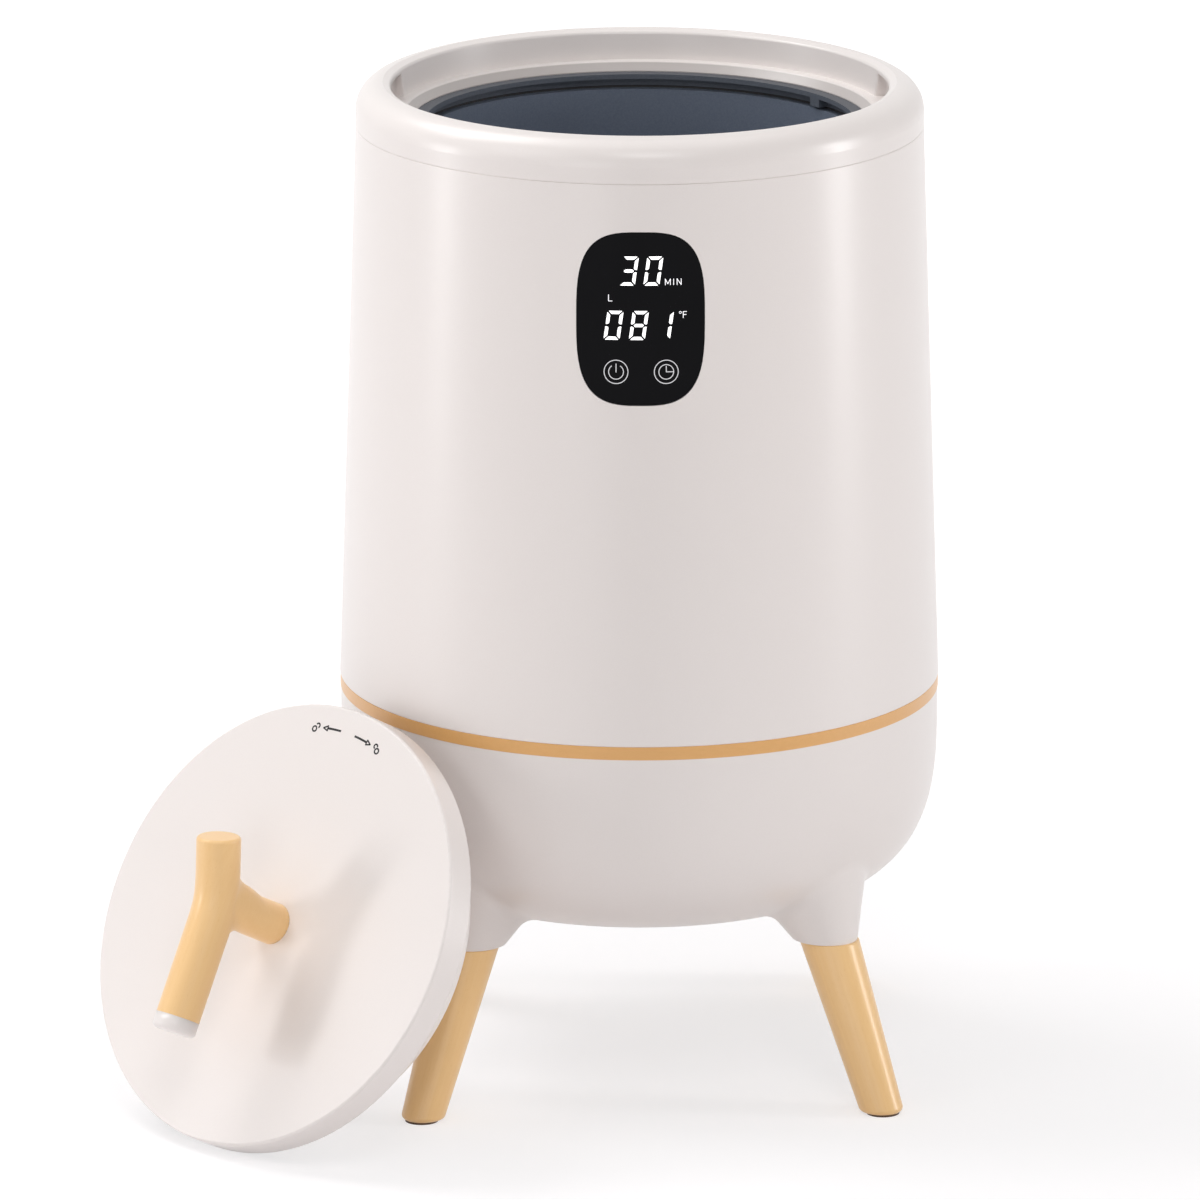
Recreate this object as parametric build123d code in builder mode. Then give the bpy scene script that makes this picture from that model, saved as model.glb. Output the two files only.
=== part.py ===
from build123d import *
from math import atan, cos, degrees, hypot, radians, sin, sqrt, tan
import os

os.makedirs("parts", exist_ok=True)

# Towel warmer bucket, in millimetres. +Z is up, the touch panel faces -Y, and the
# origin is on the floor under the bucket's axis. The lid is off and leans on the base.

# ------------------------------------------------------------------ driving sizes
# Heights, stacked from the floor up.
ground_clearance = 96.3      # floor to the underside of the base bowl
bowl_height = 109.7          # base bowl, underside to the trim band
band_height = 7.0            # wood-tone band between bowl and shell
shell_height = 299.0         # tapered outer shell
rim_height = 22.5            # rounded rim ring, seam to crest

# Radii of the outside.
body_top_radius = 150.3      # at the seam under the rim
body_flare = 9.7             # the body is this much wider at the trim band
bowl_flat_share = 0.35       # flat middle of the bowl's underside, as a share of its radius
bowl_power = 3.14            # how square the bowl's heel is (2 is an ellipse)
bowl_straight = 9.7          # upright stretch of the bowl, below the band
floor_flat_margin = 15.0     # the flat inside is this much wider than the one outside

# Walls and small working sizes.
shell_wall = 2.6
bowl_wall = 3.0
seam_chamfer = 0.5           # fine shadow line where two mouldings meet
slip = 0.15                  # gap round pieces of one body that slip together
run = 0.3                    # gap between pieces that come apart in use
screw_slip = 0.05            # radial gap round a screw's shank
overlap = 1.0                # how far joined or cut forms run into each other

# Rim collar: recess wall, ledge and cone, from the crest inwards.
rim_round = 14.5             # large outer rounding of the rim
rim_width = 18.5             # body's side to the top of the recess wall
recess_draft = 1.8           # the recess wall leans in by this much
recess_depth = 16.2          # crest to the ledge
ledge_width = 6.0
cone_depth = 4.4             # ledge to the foot of the cone
cone_width = 3.6
collar_land = 0.5            # upright land under the cone
collar_wall = 2.7
crest_drop = 1.8             # the crest falls this much to its inner edge
crest_round = 1.6            # rounding of the inner top edge
spigot_depth = 11.5          # skirt of the collar inside the shell
pocket_angle = 32.0          # width of each side pocket in the recess wall
pocket_depth = 7.0           # how far a pocket goes out from the wall
pocket_round = 3.2
pocket_mouth_round = 1.2
pocket_roof = 2.2            # thickness left above a pocket

# Bayonet ring, seal, pot and its support.
lip_reach = 6.8              # the bayonet lip stands in from the cone's foot
lip_thickness = 2.6
track_width = 5.4            # track, cut back behind the lip
track_height = 4.4
window_angle = 17.0          # entry window of a lug
twist_angle = 24.0           # turn from entry to stop
seal_thickness = 1.5
pot_step = 1.4               # the pot's wall stands back from the lip
pot_wall = 1.2
pot_floor_lift = 72.6        # inside of the pot's bottom above the bowl's underside
pot_corner = 18.0
pot_flange = 11.0            # how far the flange reaches past the wall
support_thickness = 5.4

# Heating and insulation.
heater_thickness = 1.6
heater_height = 190.0
heater_lift = 26.0           # above the pot's bottom
heater_gap_angle = 14.0
strap_thickness = 0.6
strap_width = 9.0
insulation_thickness = 12.0
bottom_insulation = 14.0
sensor_well_radius = 31.0
shield_thickness = 1.0
shield_lip = 9.0
wire_hole_radius = 9.0

# Base: sockets and legs.
leg_count = 4
base_turn = 3.2              # the base sits turned by this much from the panel
foot_reach = 13.0            # feet's centres on the floor, past the body's side
socket_inset = 25.0          # leg's axis at the socket's mouth, inside the body's side
socket_mouth_height = 89.0
leg_top_radius = 15.3
leg_foot_radius = 11.2
foot_round = 2.4
socket_lip = 1.0             # the socket stands this much past the leg
socket_flare = 24.0          # half angle of the flaring socket
socket_fillet = 10.0
pad_thickness = 1.0
pad_inset = 2.4
leg_bolt_radius = 3.0
leg_bolt_head_radius = 6.5
leg_bolt_head_height = 4.0
leg_bolt_reach = 26.0        # into the leg
leg_bolt_seat = 21.0         # seat above the socket's mouth, along the leg

# Touch panel and display.
panel_width = 66.5
panel_height = 91.5
panel_power = 3.2            # how square the panel's corners are
panel_drop = 71.0            # panel's centre below the seam
panel_thickness = 2.4
panel_recess = 0.2
carrier_wall = 2.0
carrier_margin = 3.5         # carrier past the window's edge
carrier_depth = 16.5         # glass to the carrier's back
carrier_ear_radius = 4.2
board_thickness = 1.6
bond_ledge = 2.2             # the glass is bonded to this width of the carrier's rim
board_back_gap = 3.5         # room behind the display board
display_board_gap = 0.5      # board's edge to the carrier
key_spacing = 26.4           # power key to timer key
key_drop = 28.1              # keys below the panel's centre
key_pad_radius = 4.5

digit_block_height = 17.0
timer_block_width = 30.0
heat_block_width = 42.0
block_spacing = 27.0         # between the two rows of digits
block_lift = 12.5            # both rows, above the panel's centre
buzzer_radius = 5.0
plug_lift = 15.0             # cable's upper plug above the panel's lower edge

# Flat cable from the display to the power board.
cable_side = 16.0            # left of the middle
cable_width = 12.0
cable_thickness = 0.9
cable_bend = 9.0
plug_height = 6.0

# Control electronics in the base.
power_board_width = 108.0
power_board_depth = 78.0
power_board_lift = 16.0      # above the bowl's floor
power_board_shift = 12.0     # board's centre behind the axis
relay_width = 15.0
relay_depth = 19.0
relay_height = 15.0
core_width = 24.0            # transformer's core
core_depth = 22.0
core_height = 19.0
coil_width = 14.0            # transformer's coil, which stands out of the core
coil_depth = 26.0
coil_height = 15.0
capacitor_radius = 6.0
capacitor_height = 20.0
capacitor_round = 0.8
terminal_width = 36.0
terminal_depth = 11.0
terminal_height = 12.0
block_round = 1.0
standoff_radius = 4.0
shield_post_inset = 31.0     # shield's posts, inside the pot's wall
shield_post_radius = 5.0

# Cord inlet at the back of the base.
inlet_lift = 53.7            # above the bowl's underside
inlet_bore_radius = 3.6
inlet_body_radius = 6.5
inlet_flange_radius = 10.0
inlet_flange_thickness = 2.6
inlet_sink = 5.0             # the flange's seat, inside the bowl's side
inlet_boss_margin = 2.0
inlet_boss_depth = 6.5
inlet_nut_thickness = 4.0
inlet_thread = 1.5           # bush past its nut

# Body screws.
collar_screw_count = 4
collar_screw_angle = 45.0    # first screw, from the right-hand side
lock_screw_count = 6
lock_screw_head_radius = 2.5
collar_screw_inset = 11.3    # from the body's side at its top
base_screw_count = 4
base_screw_inset = 17.0      # from the body's side at its foot
base_column_radius = 6.2
base_boss_thickness = 6.0    # shell's boss, under the head of a base screw
spigot_height = 3.0          # the bowl's spigot reaches this far into the shell
spigot_wall = 4.0
screw_radius = 1.9
screw_head_radius = 3.8
screw_head_height = 2.4
screw_bite = 14.0            # thread taken by a boss
boss_radius = 4.6
rib_thickness = 3.2

# Lid, measured from its outer face.
lid_slip = 0.4               # gap round the disc in the collar's cone
lid_thickness = 16.75
lid_edge_round = 1.3
lid_wall = 2.4
lid_boss_radius = 8.0        # boss for the handle's screw
lid_screw_inset = 19.0       # from the plug's foot
lid_screw_count = 4
lid_screw_sink = 0.4         # heads below the liner's face
plug_slip = 1.0              # gap round the plug in the bayonet lip
plug_skirt = 7.5             # upright part of the plug
plug_depth = 28.0            # whole plug, below the disc
plug_draft = 15.6            # the plug's foot is this much narrower
plug_round = 5.0
foam_gap = 2.0               # foam to the liner's floor
lug_reach = 2.9
lug_thickness = 2.2
lug_angle = 15.0
lug_turn = 20.0              # lugs sit turned by this much from the lid's upright line
lid_seal_thickness = 1.2
lid_seal_width = 3.4

# Branch handle.
stem_radius = 11.1
bar_radius = 11.75
bar_height = 46.0            # bar's centreline above the lid
upper_arm = 35.0
lower_arm = 63.0
upper_arm_lean = 8.5         # the upper arm leans away from the lid
bar_bend_radius = 60.0
crotch_fillet = 9.0
handle_end_round = 2.0
tip_length = 8.4
tip_round = 3.0
tip_spigot_radius = 8.0
tip_spigot_length = 7.0
handle_screw_radius = 2.5
handle_screw_head_radius = 6.1
handle_screw_reach = 18.0    # how far the screw goes into the stem

# How the lid leans: its tilt, the side it faces, and where it stands.
lean_tilt = 27.0             # face above the horizon
lean_facing = 44.0           # face, from the front towards the left
lean_standing = 52.0         # where it stands round the bucket, from the front to the left

# ------------------------------------------------------------------ derived sizes
z_bowl = ground_clearance
z_band = z_bowl + bowl_height
z_shell = z_band + band_height
z_seam = z_shell + shell_height
z_crest = z_seam + rim_height
z_ledge = z_crest - recess_depth
z_cone_foot = z_ledge - cone_depth
z_lock_top = z_cone_foot - collar_land
z_lip_under = z_lock_top - lip_thickness
z_track_floor = z_lip_under - track_height
z_flange_top = z_track_floor - seal_thickness
z_flange_under = z_flange_top - pot_wall
z_support_under = z_flange_under - support_thickness
z_pot_floor = z_bowl + pot_floor_lift
z_pot_under = z_pot_floor - pot_wall
z_shield_top = z_pot_under - bottom_insulation
z_shield_under = z_shield_top - shield_thickness
z_floor = z_bowl + bowl_wall
z_board = z_floor + power_board_lift
panel_centre_height = z_seam - panel_drop
inlet_height = z_bowl + inlet_lift

body_base_radius = body_top_radius + body_flare
body_reach = max(body_top_radius, body_base_radius)
bowl_flat_radius = bowl_flat_share * body_base_radius
recess_top_radius = body_top_radius - rim_width
recess_floor_radius = recess_top_radius - recess_draft
seat_radius = recess_floor_radius + collar_wall
cone_foot_radius = recess_floor_radius - ledge_width - cone_width
lip_radius = cone_foot_radius - lip_reach
track_radius = lip_radius + track_width
lock_ring_radius = seat_radius - run
pot_inner_radius = lip_radius + pot_step
pot_outer_radius = pot_inner_radius + pot_wall
flange_radius = pot_outer_radius + pot_flange
lock_screw_circle = flange_radius + slip + lock_screw_head_radius
collar_screw_circle = body_top_radius - collar_screw_inset
base_screw_circle = body_base_radius - base_screw_inset
shield_post_circle = pot_inner_radius - shield_post_inset
foot_circle = body_base_radius + foot_reach
socket_circle = body_base_radius - socket_inset
lid_radius = cone_foot_radius - lid_slip
plug_radius = lip_radius - plug_slip
plug_foot_radius = plug_radius - plug_draft
lid_screw_circle = plug_foot_radius - lid_screw_inset

leg_splay = degrees(atan((foot_circle - socket_circle) / socket_mouth_height))
leg_angles = [base_turn - 45 + 360 / leg_count * i for i in range(leg_count)]
leg_names = ["leg_front_right", "leg_rear_right", "leg_rear_left", "leg_front_left"]


def shell_radius(z):
    """Outside radius of the tapered shell at a height."""
    return body_top_radius + (z_seam - z) * (body_base_radius - body_top_radius) / shell_height


def quarter(half_width, half_height, power, steps=10):
    """Points of a quarter superellipse, from its side to its end."""
    turns = [radians(90 * i / steps) for i in range(steps + 1)]
    return [
        (half_width * max(cos(t), 0) ** (2 / power), half_height * sin(t) ** (2 / power))
        for t in turns
    ]


def outward(angle):
    """Level unit vector that points out of the bucket at an angle from +X."""
    return Vector(cos(radians(angle)), sin(radians(angle)), 0)


def ring(inner, outer, low, high, mode=Mode.ADD):
    """Upright ring on the bucket's axis."""
    with BuildSketch(Plane.XY.offset(low)) as base:
        Circle(outer)
        Circle(inner, mode=Mode.SUBTRACT)
    extrude(base.sketch, amount=high - low, mode=mode)


def radial_plane(angle):
    """Upright plane through the axis: local x is the radius, local y the height."""
    return Plane(origin=(0, 0, 0), x_dir=outward(angle), z_dir=outward(angle - 90))


def sector(inner, outer, low, high, middle, width, mode=Mode.ADD):
    """Piece of a ring, centred on an angle."""
    corners = (inner, low), (outer, low), (outer, high), (inner, high)
    with BuildSketch(radial_plane(middle - width / 2)) as section:
        Polygon(*corners, align=None)
    revolve(section.sketch, axis=Axis.Z, revolution_arc=width, mode=mode)


def pegs(circle, count, first_angle, radius, low, high, mode=Mode.ADD):
    """Upright round pegs or holes, evenly spaced on a circle."""
    with BuildSketch(Plane.XY.offset(low)) as base:
        with PolarLocations(circle, count, start_angle=first_angle):
            Circle(radius)
    extrude(base.sketch, amount=high - low, mode=mode)


def ribbed_bosses(circle, count, first_angle, wall_radius, low, high, mode):
    """Upright bosses, each tied to the wall outside it by a rib."""
    pegs(circle, count, first_angle, boss_radius, low, high, mode)
    with BuildSketch(Plane.XY.offset(low)) as base:
        with PolarLocations((circle + wall_radius) / 2, count, start_angle=first_angle):
            Rectangle(wall_radius - circle, rib_thickness)
    extrude(base.sketch, amount=high - low, mode=mode)


def screws(circle, count, first_angle, seat, reach, head=screw_head_radius):
    """Upright screws from below: heads under the seat, shanks above it."""
    pegs(circle, count, first_angle, head, seat - screw_head_height, seat)
    pegs(circle, count, first_angle, screw_radius, seat, reach)


def save(part, name):
    """Label a finished piece and write it to its own file."""
    part.label = name
    export_step(part, f"parts/{name}.step")


# ------------------------------------------------------------------ rim collar
# One moulding: rounded crest, recess wall with two side pockets, ledge and cone,
# hollow from below, with a skirt that enters the shell and bosses for its screws.
round_centre_radius = body_top_radius - rim_round
round_centre_height = z_crest - rim_round
skirt_radius = shell_radius(z_seam) - shell_wall - slip
skirt_inner_radius = skirt_radius - collar_wall
wall_back_radius = recess_top_radius + collar_wall
pocket_back_radius = recess_floor_radius + pocket_depth
pocket_top = z_crest - crest_drop - pocket_roof
pocket_angles = (0, 180)

with BuildPart() as collar_hollow:
    with BuildSketch(Plane.XZ):
        with BuildLine():
            roof = CenterArc(
                (round_centre_radius, round_centre_height), rim_round - collar_wall, 0, 90
            )
            Polyline(
                roof @ 1,
                (wall_back_radius + crest_drop, z_crest - crest_drop - collar_wall),
                (seat_radius, z_ledge),
                (seat_radius, z_flange_under),
                (skirt_inner_radius, z_flange_under),
                roof @ 0,
            )
        make_face()
    revolve(axis=Axis.Z)
    ribbed_bosses(
        collar_screw_circle, collar_screw_count, collar_screw_angle, skirt_inner_radius + 1,
        z_flange_under, z_ledge, Mode.SUBTRACT,
    )
    for angle in pocket_angles:
        sector(
            seat_radius - 1, pocket_back_radius + collar_wall, z_lock_top,
            z_crest, angle, pocket_angle + 3, Mode.SUBTRACT,
        )

with BuildPart() as pocket:
    sector(recess_floor_radius - 3, pocket_back_radius, z_ledge, pocket_top, 0, pocket_angle)
    fillet(pocket.edges().filter_by(Axis.Z).sort_by(SortBy.DISTANCE)[-2:], pocket_round)

with BuildPart() as rim_collar:
    with BuildSketch(Plane.XZ):
        with BuildLine():
            side = Line((body_top_radius, z_seam), (body_top_radius, round_centre_height))
            rounding = CenterArc((round_centre_radius, round_centre_height), rim_round, 0, 90)
            Polyline(
                rounding @ 1,
                (recess_top_radius, z_crest - crest_drop),
                (recess_floor_radius, z_ledge),
                (recess_floor_radius - ledge_width, z_ledge),
                (cone_foot_radius, z_cone_foot),
                (cone_foot_radius, z_lock_top),
                (seat_radius, z_lock_top),
                (seat_radius, z_flange_under),
                (skirt_inner_radius, z_flange_under),
                (skirt_inner_radius, z_seam - spigot_depth),
                (skirt_radius, z_seam - spigot_depth),
                (skirt_radius, z_seam),
                side @ 0,
            )
        make_face()
    revolve(axis=Axis.Z)
    inner_crest = [
        edge for edge in rim_collar.edges().filter_by(GeomType.CIRCLE)
        if edge.center().Z > z_ledge and abs(edge.radius - recess_top_radius) < seam_chamfer
    ]
    fillet(inner_crest, crest_round)
    add(collar_hollow.part, mode=Mode.SUBTRACT)
    for angle in pocket_angles:
        add(pocket.part.rotate(Axis.Z, angle), mode=Mode.SUBTRACT)
    pocket_mouths = [
        edge for edge in rim_collar.edges().filter_by(GeomType.LINE)
        if edge.center().Z > z_ledge and edge.length > pocket_depth
        and recess_floor_radius < hypot(edge.center().X, edge.center().Y) < recess_top_radius
    ]
    fillet(pocket_mouths, pocket_mouth_round)
    pegs(
        collar_screw_circle, collar_screw_count, collar_screw_angle, screw_radius + screw_slip,
        z_flange_under, z_flange_under + screw_bite, Mode.SUBTRACT,
    )
    pegs(
        lock_screw_circle, lock_screw_count, 0, screw_radius + screw_slip,
        z_lock_top, z_lock_top + collar_wall, Mode.SUBTRACT,
    )
save(rim_collar.part, "rim_collar")


# ------------------------------------------------------------------ bayonet ring
# Dark ring under the collar. The lid's lugs drop through its two windows and turn
# under its lip until they meet the stops. It is screwed up into the collar.
window_angles = (0, 180)
stop_angle = 4.0
stop_turn = twist_angle + lug_angle / 2 + stop_angle / 2 + 1

with BuildPart() as lock_ring:
    ring(lip_radius, lock_ring_radius, z_lip_under, z_lock_top)
    ring(track_radius, lock_ring_radius, z_track_floor, z_lip_under)
    for angle in window_angles:
        sector(
            lip_radius - 1, track_radius, z_track_floor, z_lock_top,
            angle, window_angle, Mode.SUBTRACT,
        )
        sector(
            lip_radius, track_radius + 0.5, z_track_floor, z_lip_under,
            angle + stop_turn, stop_angle,
        )
    pegs(
        lock_screw_circle, lock_screw_count, 0, screw_radius + screw_slip,
        z_track_floor, z_lock_top, Mode.SUBTRACT,
    )
save(lock_ring.part, "lock_ring")

with BuildPart() as lock_ring_screws:
    screws(
        lock_screw_circle, lock_screw_count, 0, z_track_floor,
        z_lock_top + collar_wall - 1, lock_screw_head_radius,
    )
save(lock_ring_screws.part, "lock_ring_screws")

# ------------------------------------------------------------------ pot and its rim
# Deep-drawn coated pot that hangs by its flange, the silicone seal on the flange,
# and the heat-proof support ring that carries the flange on the shell's bosses.
support_radius = skirt_inner_radius - slip

with BuildPart() as inner_pot:
    with BuildSketch(Plane.XZ):
        with BuildLine():
            outside = FilletPolyline(
                (0, z_pot_under),
                (pot_outer_radius, z_pot_under),
                (pot_outer_radius, z_flange_under),
                radius=pot_corner + pot_wall,
            )
            inside = FilletPolyline(
                (0, z_pot_floor),
                (pot_inner_radius, z_pot_floor),
                (pot_inner_radius, z_flange_top),
                radius=pot_corner,
            )
            Polyline(
                outside @ 1,
                (flange_radius, z_flange_under),
                (flange_radius, z_flange_top),
                inside @ 1,
            )
            Line(outside @ 0, inside @ 0)
        make_face()
    revolve(axis=Axis.Z)
save(inner_pot.part, "inner_pot")

with BuildPart() as pot_seal:
    ring(track_radius + 1, flange_radius, z_flange_top, z_track_floor)
save(pot_seal.part, "pot_seal")

with BuildPart() as support_ring:
    ring(pot_outer_radius + 2 * run, support_radius, z_support_under, z_flange_under)
    pegs(
        collar_screw_circle, collar_screw_count, collar_screw_angle, screw_radius + screw_slip,
        z_support_under, z_flange_under, Mode.SUBTRACT,
    )
save(support_ring.part, "support_ring")

# ------------------------------------------------------------------ outer shell
# Tapered moulding, open at both ends, with the window for the touch panel, screw
# bosses at the top for the collar and at the bottom for the base.
shell_boss_low = z_support_under - screw_bite
spigot_top = z_shell + spigot_height
base_boss_top = spigot_top + base_boss_thickness
base_screw_angle = base_turn + 22.5
ear_x = panel_width / 2 + carrier_margin + carrier_ear_radius
ear_z = panel_height / 2 - 3 * carrier_ear_radius
glass_back = shell_radius(panel_centre_height) - panel_recess - panel_thickness
carrier_back = glass_back - carrier_depth
ear_face = carrier_back + 2 * carrier_wall


def panel_plane(distance):
    """Upright plane in front of the axis, centred on the touch panel."""
    return Plane(
        origin=(0, -distance, panel_centre_height), x_dir=(1, 0, 0), z_dir=(0, -1, 0)
    )


def panel_outline(margin):
    """Rounded outline of the touch panel, made larger by a margin."""
    corner = quarter(panel_width / 2 + margin, panel_height / 2 + margin, panel_power)
    with BuildSketch() as shape:
        with BuildLine():
            arc = Spline(*corner, tangents=[(0, 1), (-1, 0)])
            Line((0, 0), arc @ 0)
            Line(arc @ 1, (0, 0))
        make_face()
        mirror(about=Plane.YZ)
        mirror(about=Plane.XZ)
    return shape.sketch


with BuildPart() as shell_hollow:
    with BuildSketch(Plane.XZ):
        Polygon(
            (0, z_shell),
            (shell_radius(z_shell) - shell_wall, z_shell),
            (shell_radius(z_seam) - shell_wall, z_seam),
            (0, z_seam),
            align=None,
        )
    revolve(axis=Axis.Z)
    ribbed_bosses(
        collar_screw_circle, collar_screw_count, collar_screw_angle, body_top_radius,
        shell_boss_low, z_support_under, Mode.SUBTRACT,
    )
    ribbed_bosses(
        base_screw_circle, base_screw_count, base_screw_angle,
        body_base_radius, spigot_top, base_boss_top, Mode.SUBTRACT,
    )
    with BuildSketch(panel_plane(ear_face)):
        with GridLocations(2 * ear_x, 2 * ear_z, 2, 2):
            Circle(carrier_ear_radius)
    extrude(amount=body_reach - ear_face, mode=Mode.SUBTRACT)

with BuildPart() as outer_shell:
    with BuildSketch(Plane.XZ):
        Polygon(
            (0, z_shell),
            (shell_radius(z_shell), z_shell),
            (shell_radius(z_seam), z_seam),
            (0, z_seam),
            align=None,
        )
    revolve(axis=Axis.Z)
    chamfer(outer_shell.edges().filter_by(GeomType.CIRCLE), seam_chamfer)
    add(shell_hollow.part, mode=Mode.SUBTRACT)
    extrude(
        panel_plane(ear_face) * panel_outline(slip),
        amount=body_reach, mode=Mode.SUBTRACT,
    )
    pegs(
        collar_screw_circle, collar_screw_count, collar_screw_angle, screw_radius + screw_slip,
        shell_boss_low, z_support_under, Mode.SUBTRACT,
    )
    pegs(
        base_screw_circle, base_screw_count, base_screw_angle,
        screw_radius + screw_slip, spigot_top, base_boss_top, Mode.SUBTRACT,
    )
    with BuildSketch(panel_plane(ear_face)):
        with GridLocations(2 * ear_x, 2 * ear_z, 2, 2):
            Circle(screw_radius + screw_slip)
    extrude(amount=screw_bite / 2, mode=Mode.SUBTRACT)
save(outer_shell.part, "outer_shell")

with BuildPart() as collar_screws:
    screws(
        collar_screw_circle, collar_screw_count, collar_screw_angle, shell_boss_low,
        z_flange_under + screw_bite - 1,
    )
save(collar_screws.part, "collar_screws")

# ------------------------------------------------------------------ touch panel
# Curved black glass bonded in the window, on a carrier tray screwed to the shell.
# The tray holds the board with its digits, the buzzer and the two touch-key pads.
board_back = carrier_back + carrier_wall + board_back_gap
board_front = board_back + board_thickness
key_height = panel_centre_height - key_drop
plug_drop = plug_lift - panel_height / 2
glass_inner_radius = shell_radius(panel_centre_height + panel_height / 2) - panel_recess
glass_inner_radius = glass_inner_radius - panel_thickness
key_pad_front = sqrt(glass_inner_radius ** 2 - (key_spacing / 2 + key_pad_radius) ** 2)
digits_front = sqrt(glass_inner_radius ** 2 - (panel_width / 3) ** 2)


def cone_wall(inset):
    """Solid inside the shell's outside surface, drawn in by an inset."""
    with BuildSketch(Plane.XZ) as section:
        Polygon(
            (0, z_shell),
            (shell_radius(z_shell) - inset, z_shell),
            (shell_radius(z_seam) - inset, z_seam),
            (0, z_seam),
            align=None,
        )
    return section.sketch


with BuildPart() as panel_glass:
    revolve(cone_wall(panel_recess), axis=Axis.Z)
    revolve(cone_wall(panel_recess + panel_thickness), axis=Axis.Z, mode=Mode.SUBTRACT)
    extrude(
        panel_plane(ear_face) * panel_outline(-slip),
        amount=body_reach - ear_face, mode=Mode.INTERSECT,
    )
save(panel_glass.part, "panel_glass")

with BuildPart() as panel_carrier:
    revolve(cone_wall(shell_wall + slip), axis=Axis.Z)
    extrude(
        panel_plane(carrier_back) * panel_outline(carrier_margin),
        amount=body_reach - carrier_back, mode=Mode.INTERSECT,
    )
    extrude(
        panel_plane(carrier_back + carrier_wall) * panel_outline(-bond_ledge),
        amount=body_reach, mode=Mode.SUBTRACT,
    )
    # Screw ears at the corners, and the posts that the board sits on.
    with BuildSketch(panel_plane(carrier_back)):
        with GridLocations(2 * ear_x, 2 * ear_z, 2, 2):
            Circle(carrier_ear_radius)
        with GridLocations(2 * ear_x - 2 * carrier_ear_radius, 2 * ear_z, 2, 2):
            Rectangle(2 * carrier_ear_radius, 2 * carrier_ear_radius)
    extrude(amount=ear_face - carrier_back)
    with BuildSketch(panel_plane(carrier_back + carrier_wall)):
        with GridLocations(panel_width / 2, panel_height / 4, 2, 2):
            Circle(standoff_radius)
    extrude(amount=board_back_gap)
    with BuildSketch(panel_plane(carrier_back)):
        with GridLocations(2 * ear_x, 2 * ear_z, 2, 2):
            Circle(screw_radius + screw_slip)
        with Locations((-cable_side, plug_drop)):
            Rectangle(cable_width + 2 * overlap, plug_height + 2 * overlap)
    extrude(amount=ear_face - carrier_back, mode=Mode.SUBTRACT)
save(panel_carrier.part, "panel_carrier")

with BuildPart() as panel_screws:
    with BuildSketch(panel_plane(carrier_back - screw_head_height)):
        with GridLocations(2 * ear_x, 2 * ear_z, 2, 2):
            Circle(screw_head_radius)
    extrude(amount=screw_head_height)
    with BuildSketch(panel_plane(carrier_back)):
        with GridLocations(2 * ear_x, 2 * ear_z, 2, 2):
            Circle(screw_radius)
    extrude(amount=ear_face - carrier_back + screw_bite / 2 - 1)
save(panel_screws.part, "panel_screws")

with BuildPart() as display_board:
    extrude(
        panel_plane(board_back) * panel_outline(-bond_ledge - display_board_gap),
        amount=board_thickness,
    )
save(display_board.part, "display_board")

with BuildPart() as digit_blocks:
    with BuildSketch(panel_plane(board_front)):
        with Locations((0, block_lift + block_spacing / 2)):
            Rectangle(timer_block_width, digit_block_height)
        with Locations((0, block_lift - block_spacing / 2)):
            Rectangle(heat_block_width, digit_block_height)
    extrude(amount=digits_front - run - board_front)
save(digit_blocks.part, "digit_blocks")

with BuildPart() as key_pads:
    with BuildSketch(panel_plane(board_front)):
        with Locations((-key_spacing / 2, -key_drop), (key_spacing / 2, -key_drop)):
            Circle(key_pad_radius)
    extrude(amount=key_pad_front - run - board_front)
save(key_pads.part, "key_pads")

with BuildPart() as buzzer:
    with BuildSketch(panel_plane(board_back - board_back_gap + run)):
        with Locations((cable_side, plug_drop + plug_height)):
            Circle(buzzer_radius)
    extrude(amount=board_back_gap - run)
save(buzzer.part, "buzzer")

# ------------------------------------------------------------------ heating
# Heating mat round the pot with a gap down its back, two straps that hold it, the
# insulation sleeve and pad, and the dish that shields the base from the heat.
mat_inner_radius = pot_outer_radius + slip
mat_outer_radius = mat_inner_radius + heater_thickness
mat_low = z_pot_under + heater_lift
mat_high = mat_low + heater_height
strap_heights = (mat_low + heater_height / 4, mat_high - heater_height / 4)
sleeve_inner_radius = mat_outer_radius + strap_thickness + 2 * slip
sleeve_outer_radius = sleeve_inner_radius + insulation_thickness
dish_radius = sleeve_outer_radius + slip + shield_thickness
probe_radius = 3.2
probe_height = 9.0
cutout_radius = 9.5

with BuildPart() as heating_mat:
    ring(mat_inner_radius, mat_outer_radius, mat_low, mat_high)
    sector(
        mat_inner_radius - 1, mat_outer_radius + 1, mat_low, mat_high,
        90, heater_gap_angle, Mode.SUBTRACT,
    )
save(heating_mat.part, "heating_mat")

with BuildPart() as mat_straps:
    for height in strap_heights:
        ring(
            mat_outer_radius + slip, mat_outer_radius + slip + strap_thickness,
            height - strap_width / 2, height + strap_width / 2,
        )
save(mat_straps.part, "mat_straps")

with BuildPart() as insulation_sleeve:
    ring(sleeve_inner_radius, sleeve_outer_radius, z_shield_top, z_support_under)
save(insulation_sleeve.part, "insulation_sleeve")

with BuildPart() as bottom_pad:
    ring(sensor_well_radius, pot_inner_radius - pot_corner, z_shield_top, z_pot_under)
    pegs(
        shield_post_circle, leg_count, base_turn, screw_head_radius + 1,
        z_shield_top, z_shield_top + 2 * screw_head_height, Mode.SUBTRACT,
    )
save(bottom_pad.part, "bottom_pad")

with BuildPart() as heat_shield:
    ring(wire_hole_radius, dish_radius, z_shield_under, z_shield_top)
    ring(dish_radius - shield_thickness, dish_radius, z_shield_top, z_shield_top + shield_lip)
    pegs(
        shield_post_circle, leg_count, base_turn, screw_radius + screw_slip,
        z_shield_under, z_shield_top, Mode.SUBTRACT,
    )
save(heat_shield.part, "heat_shield")

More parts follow.
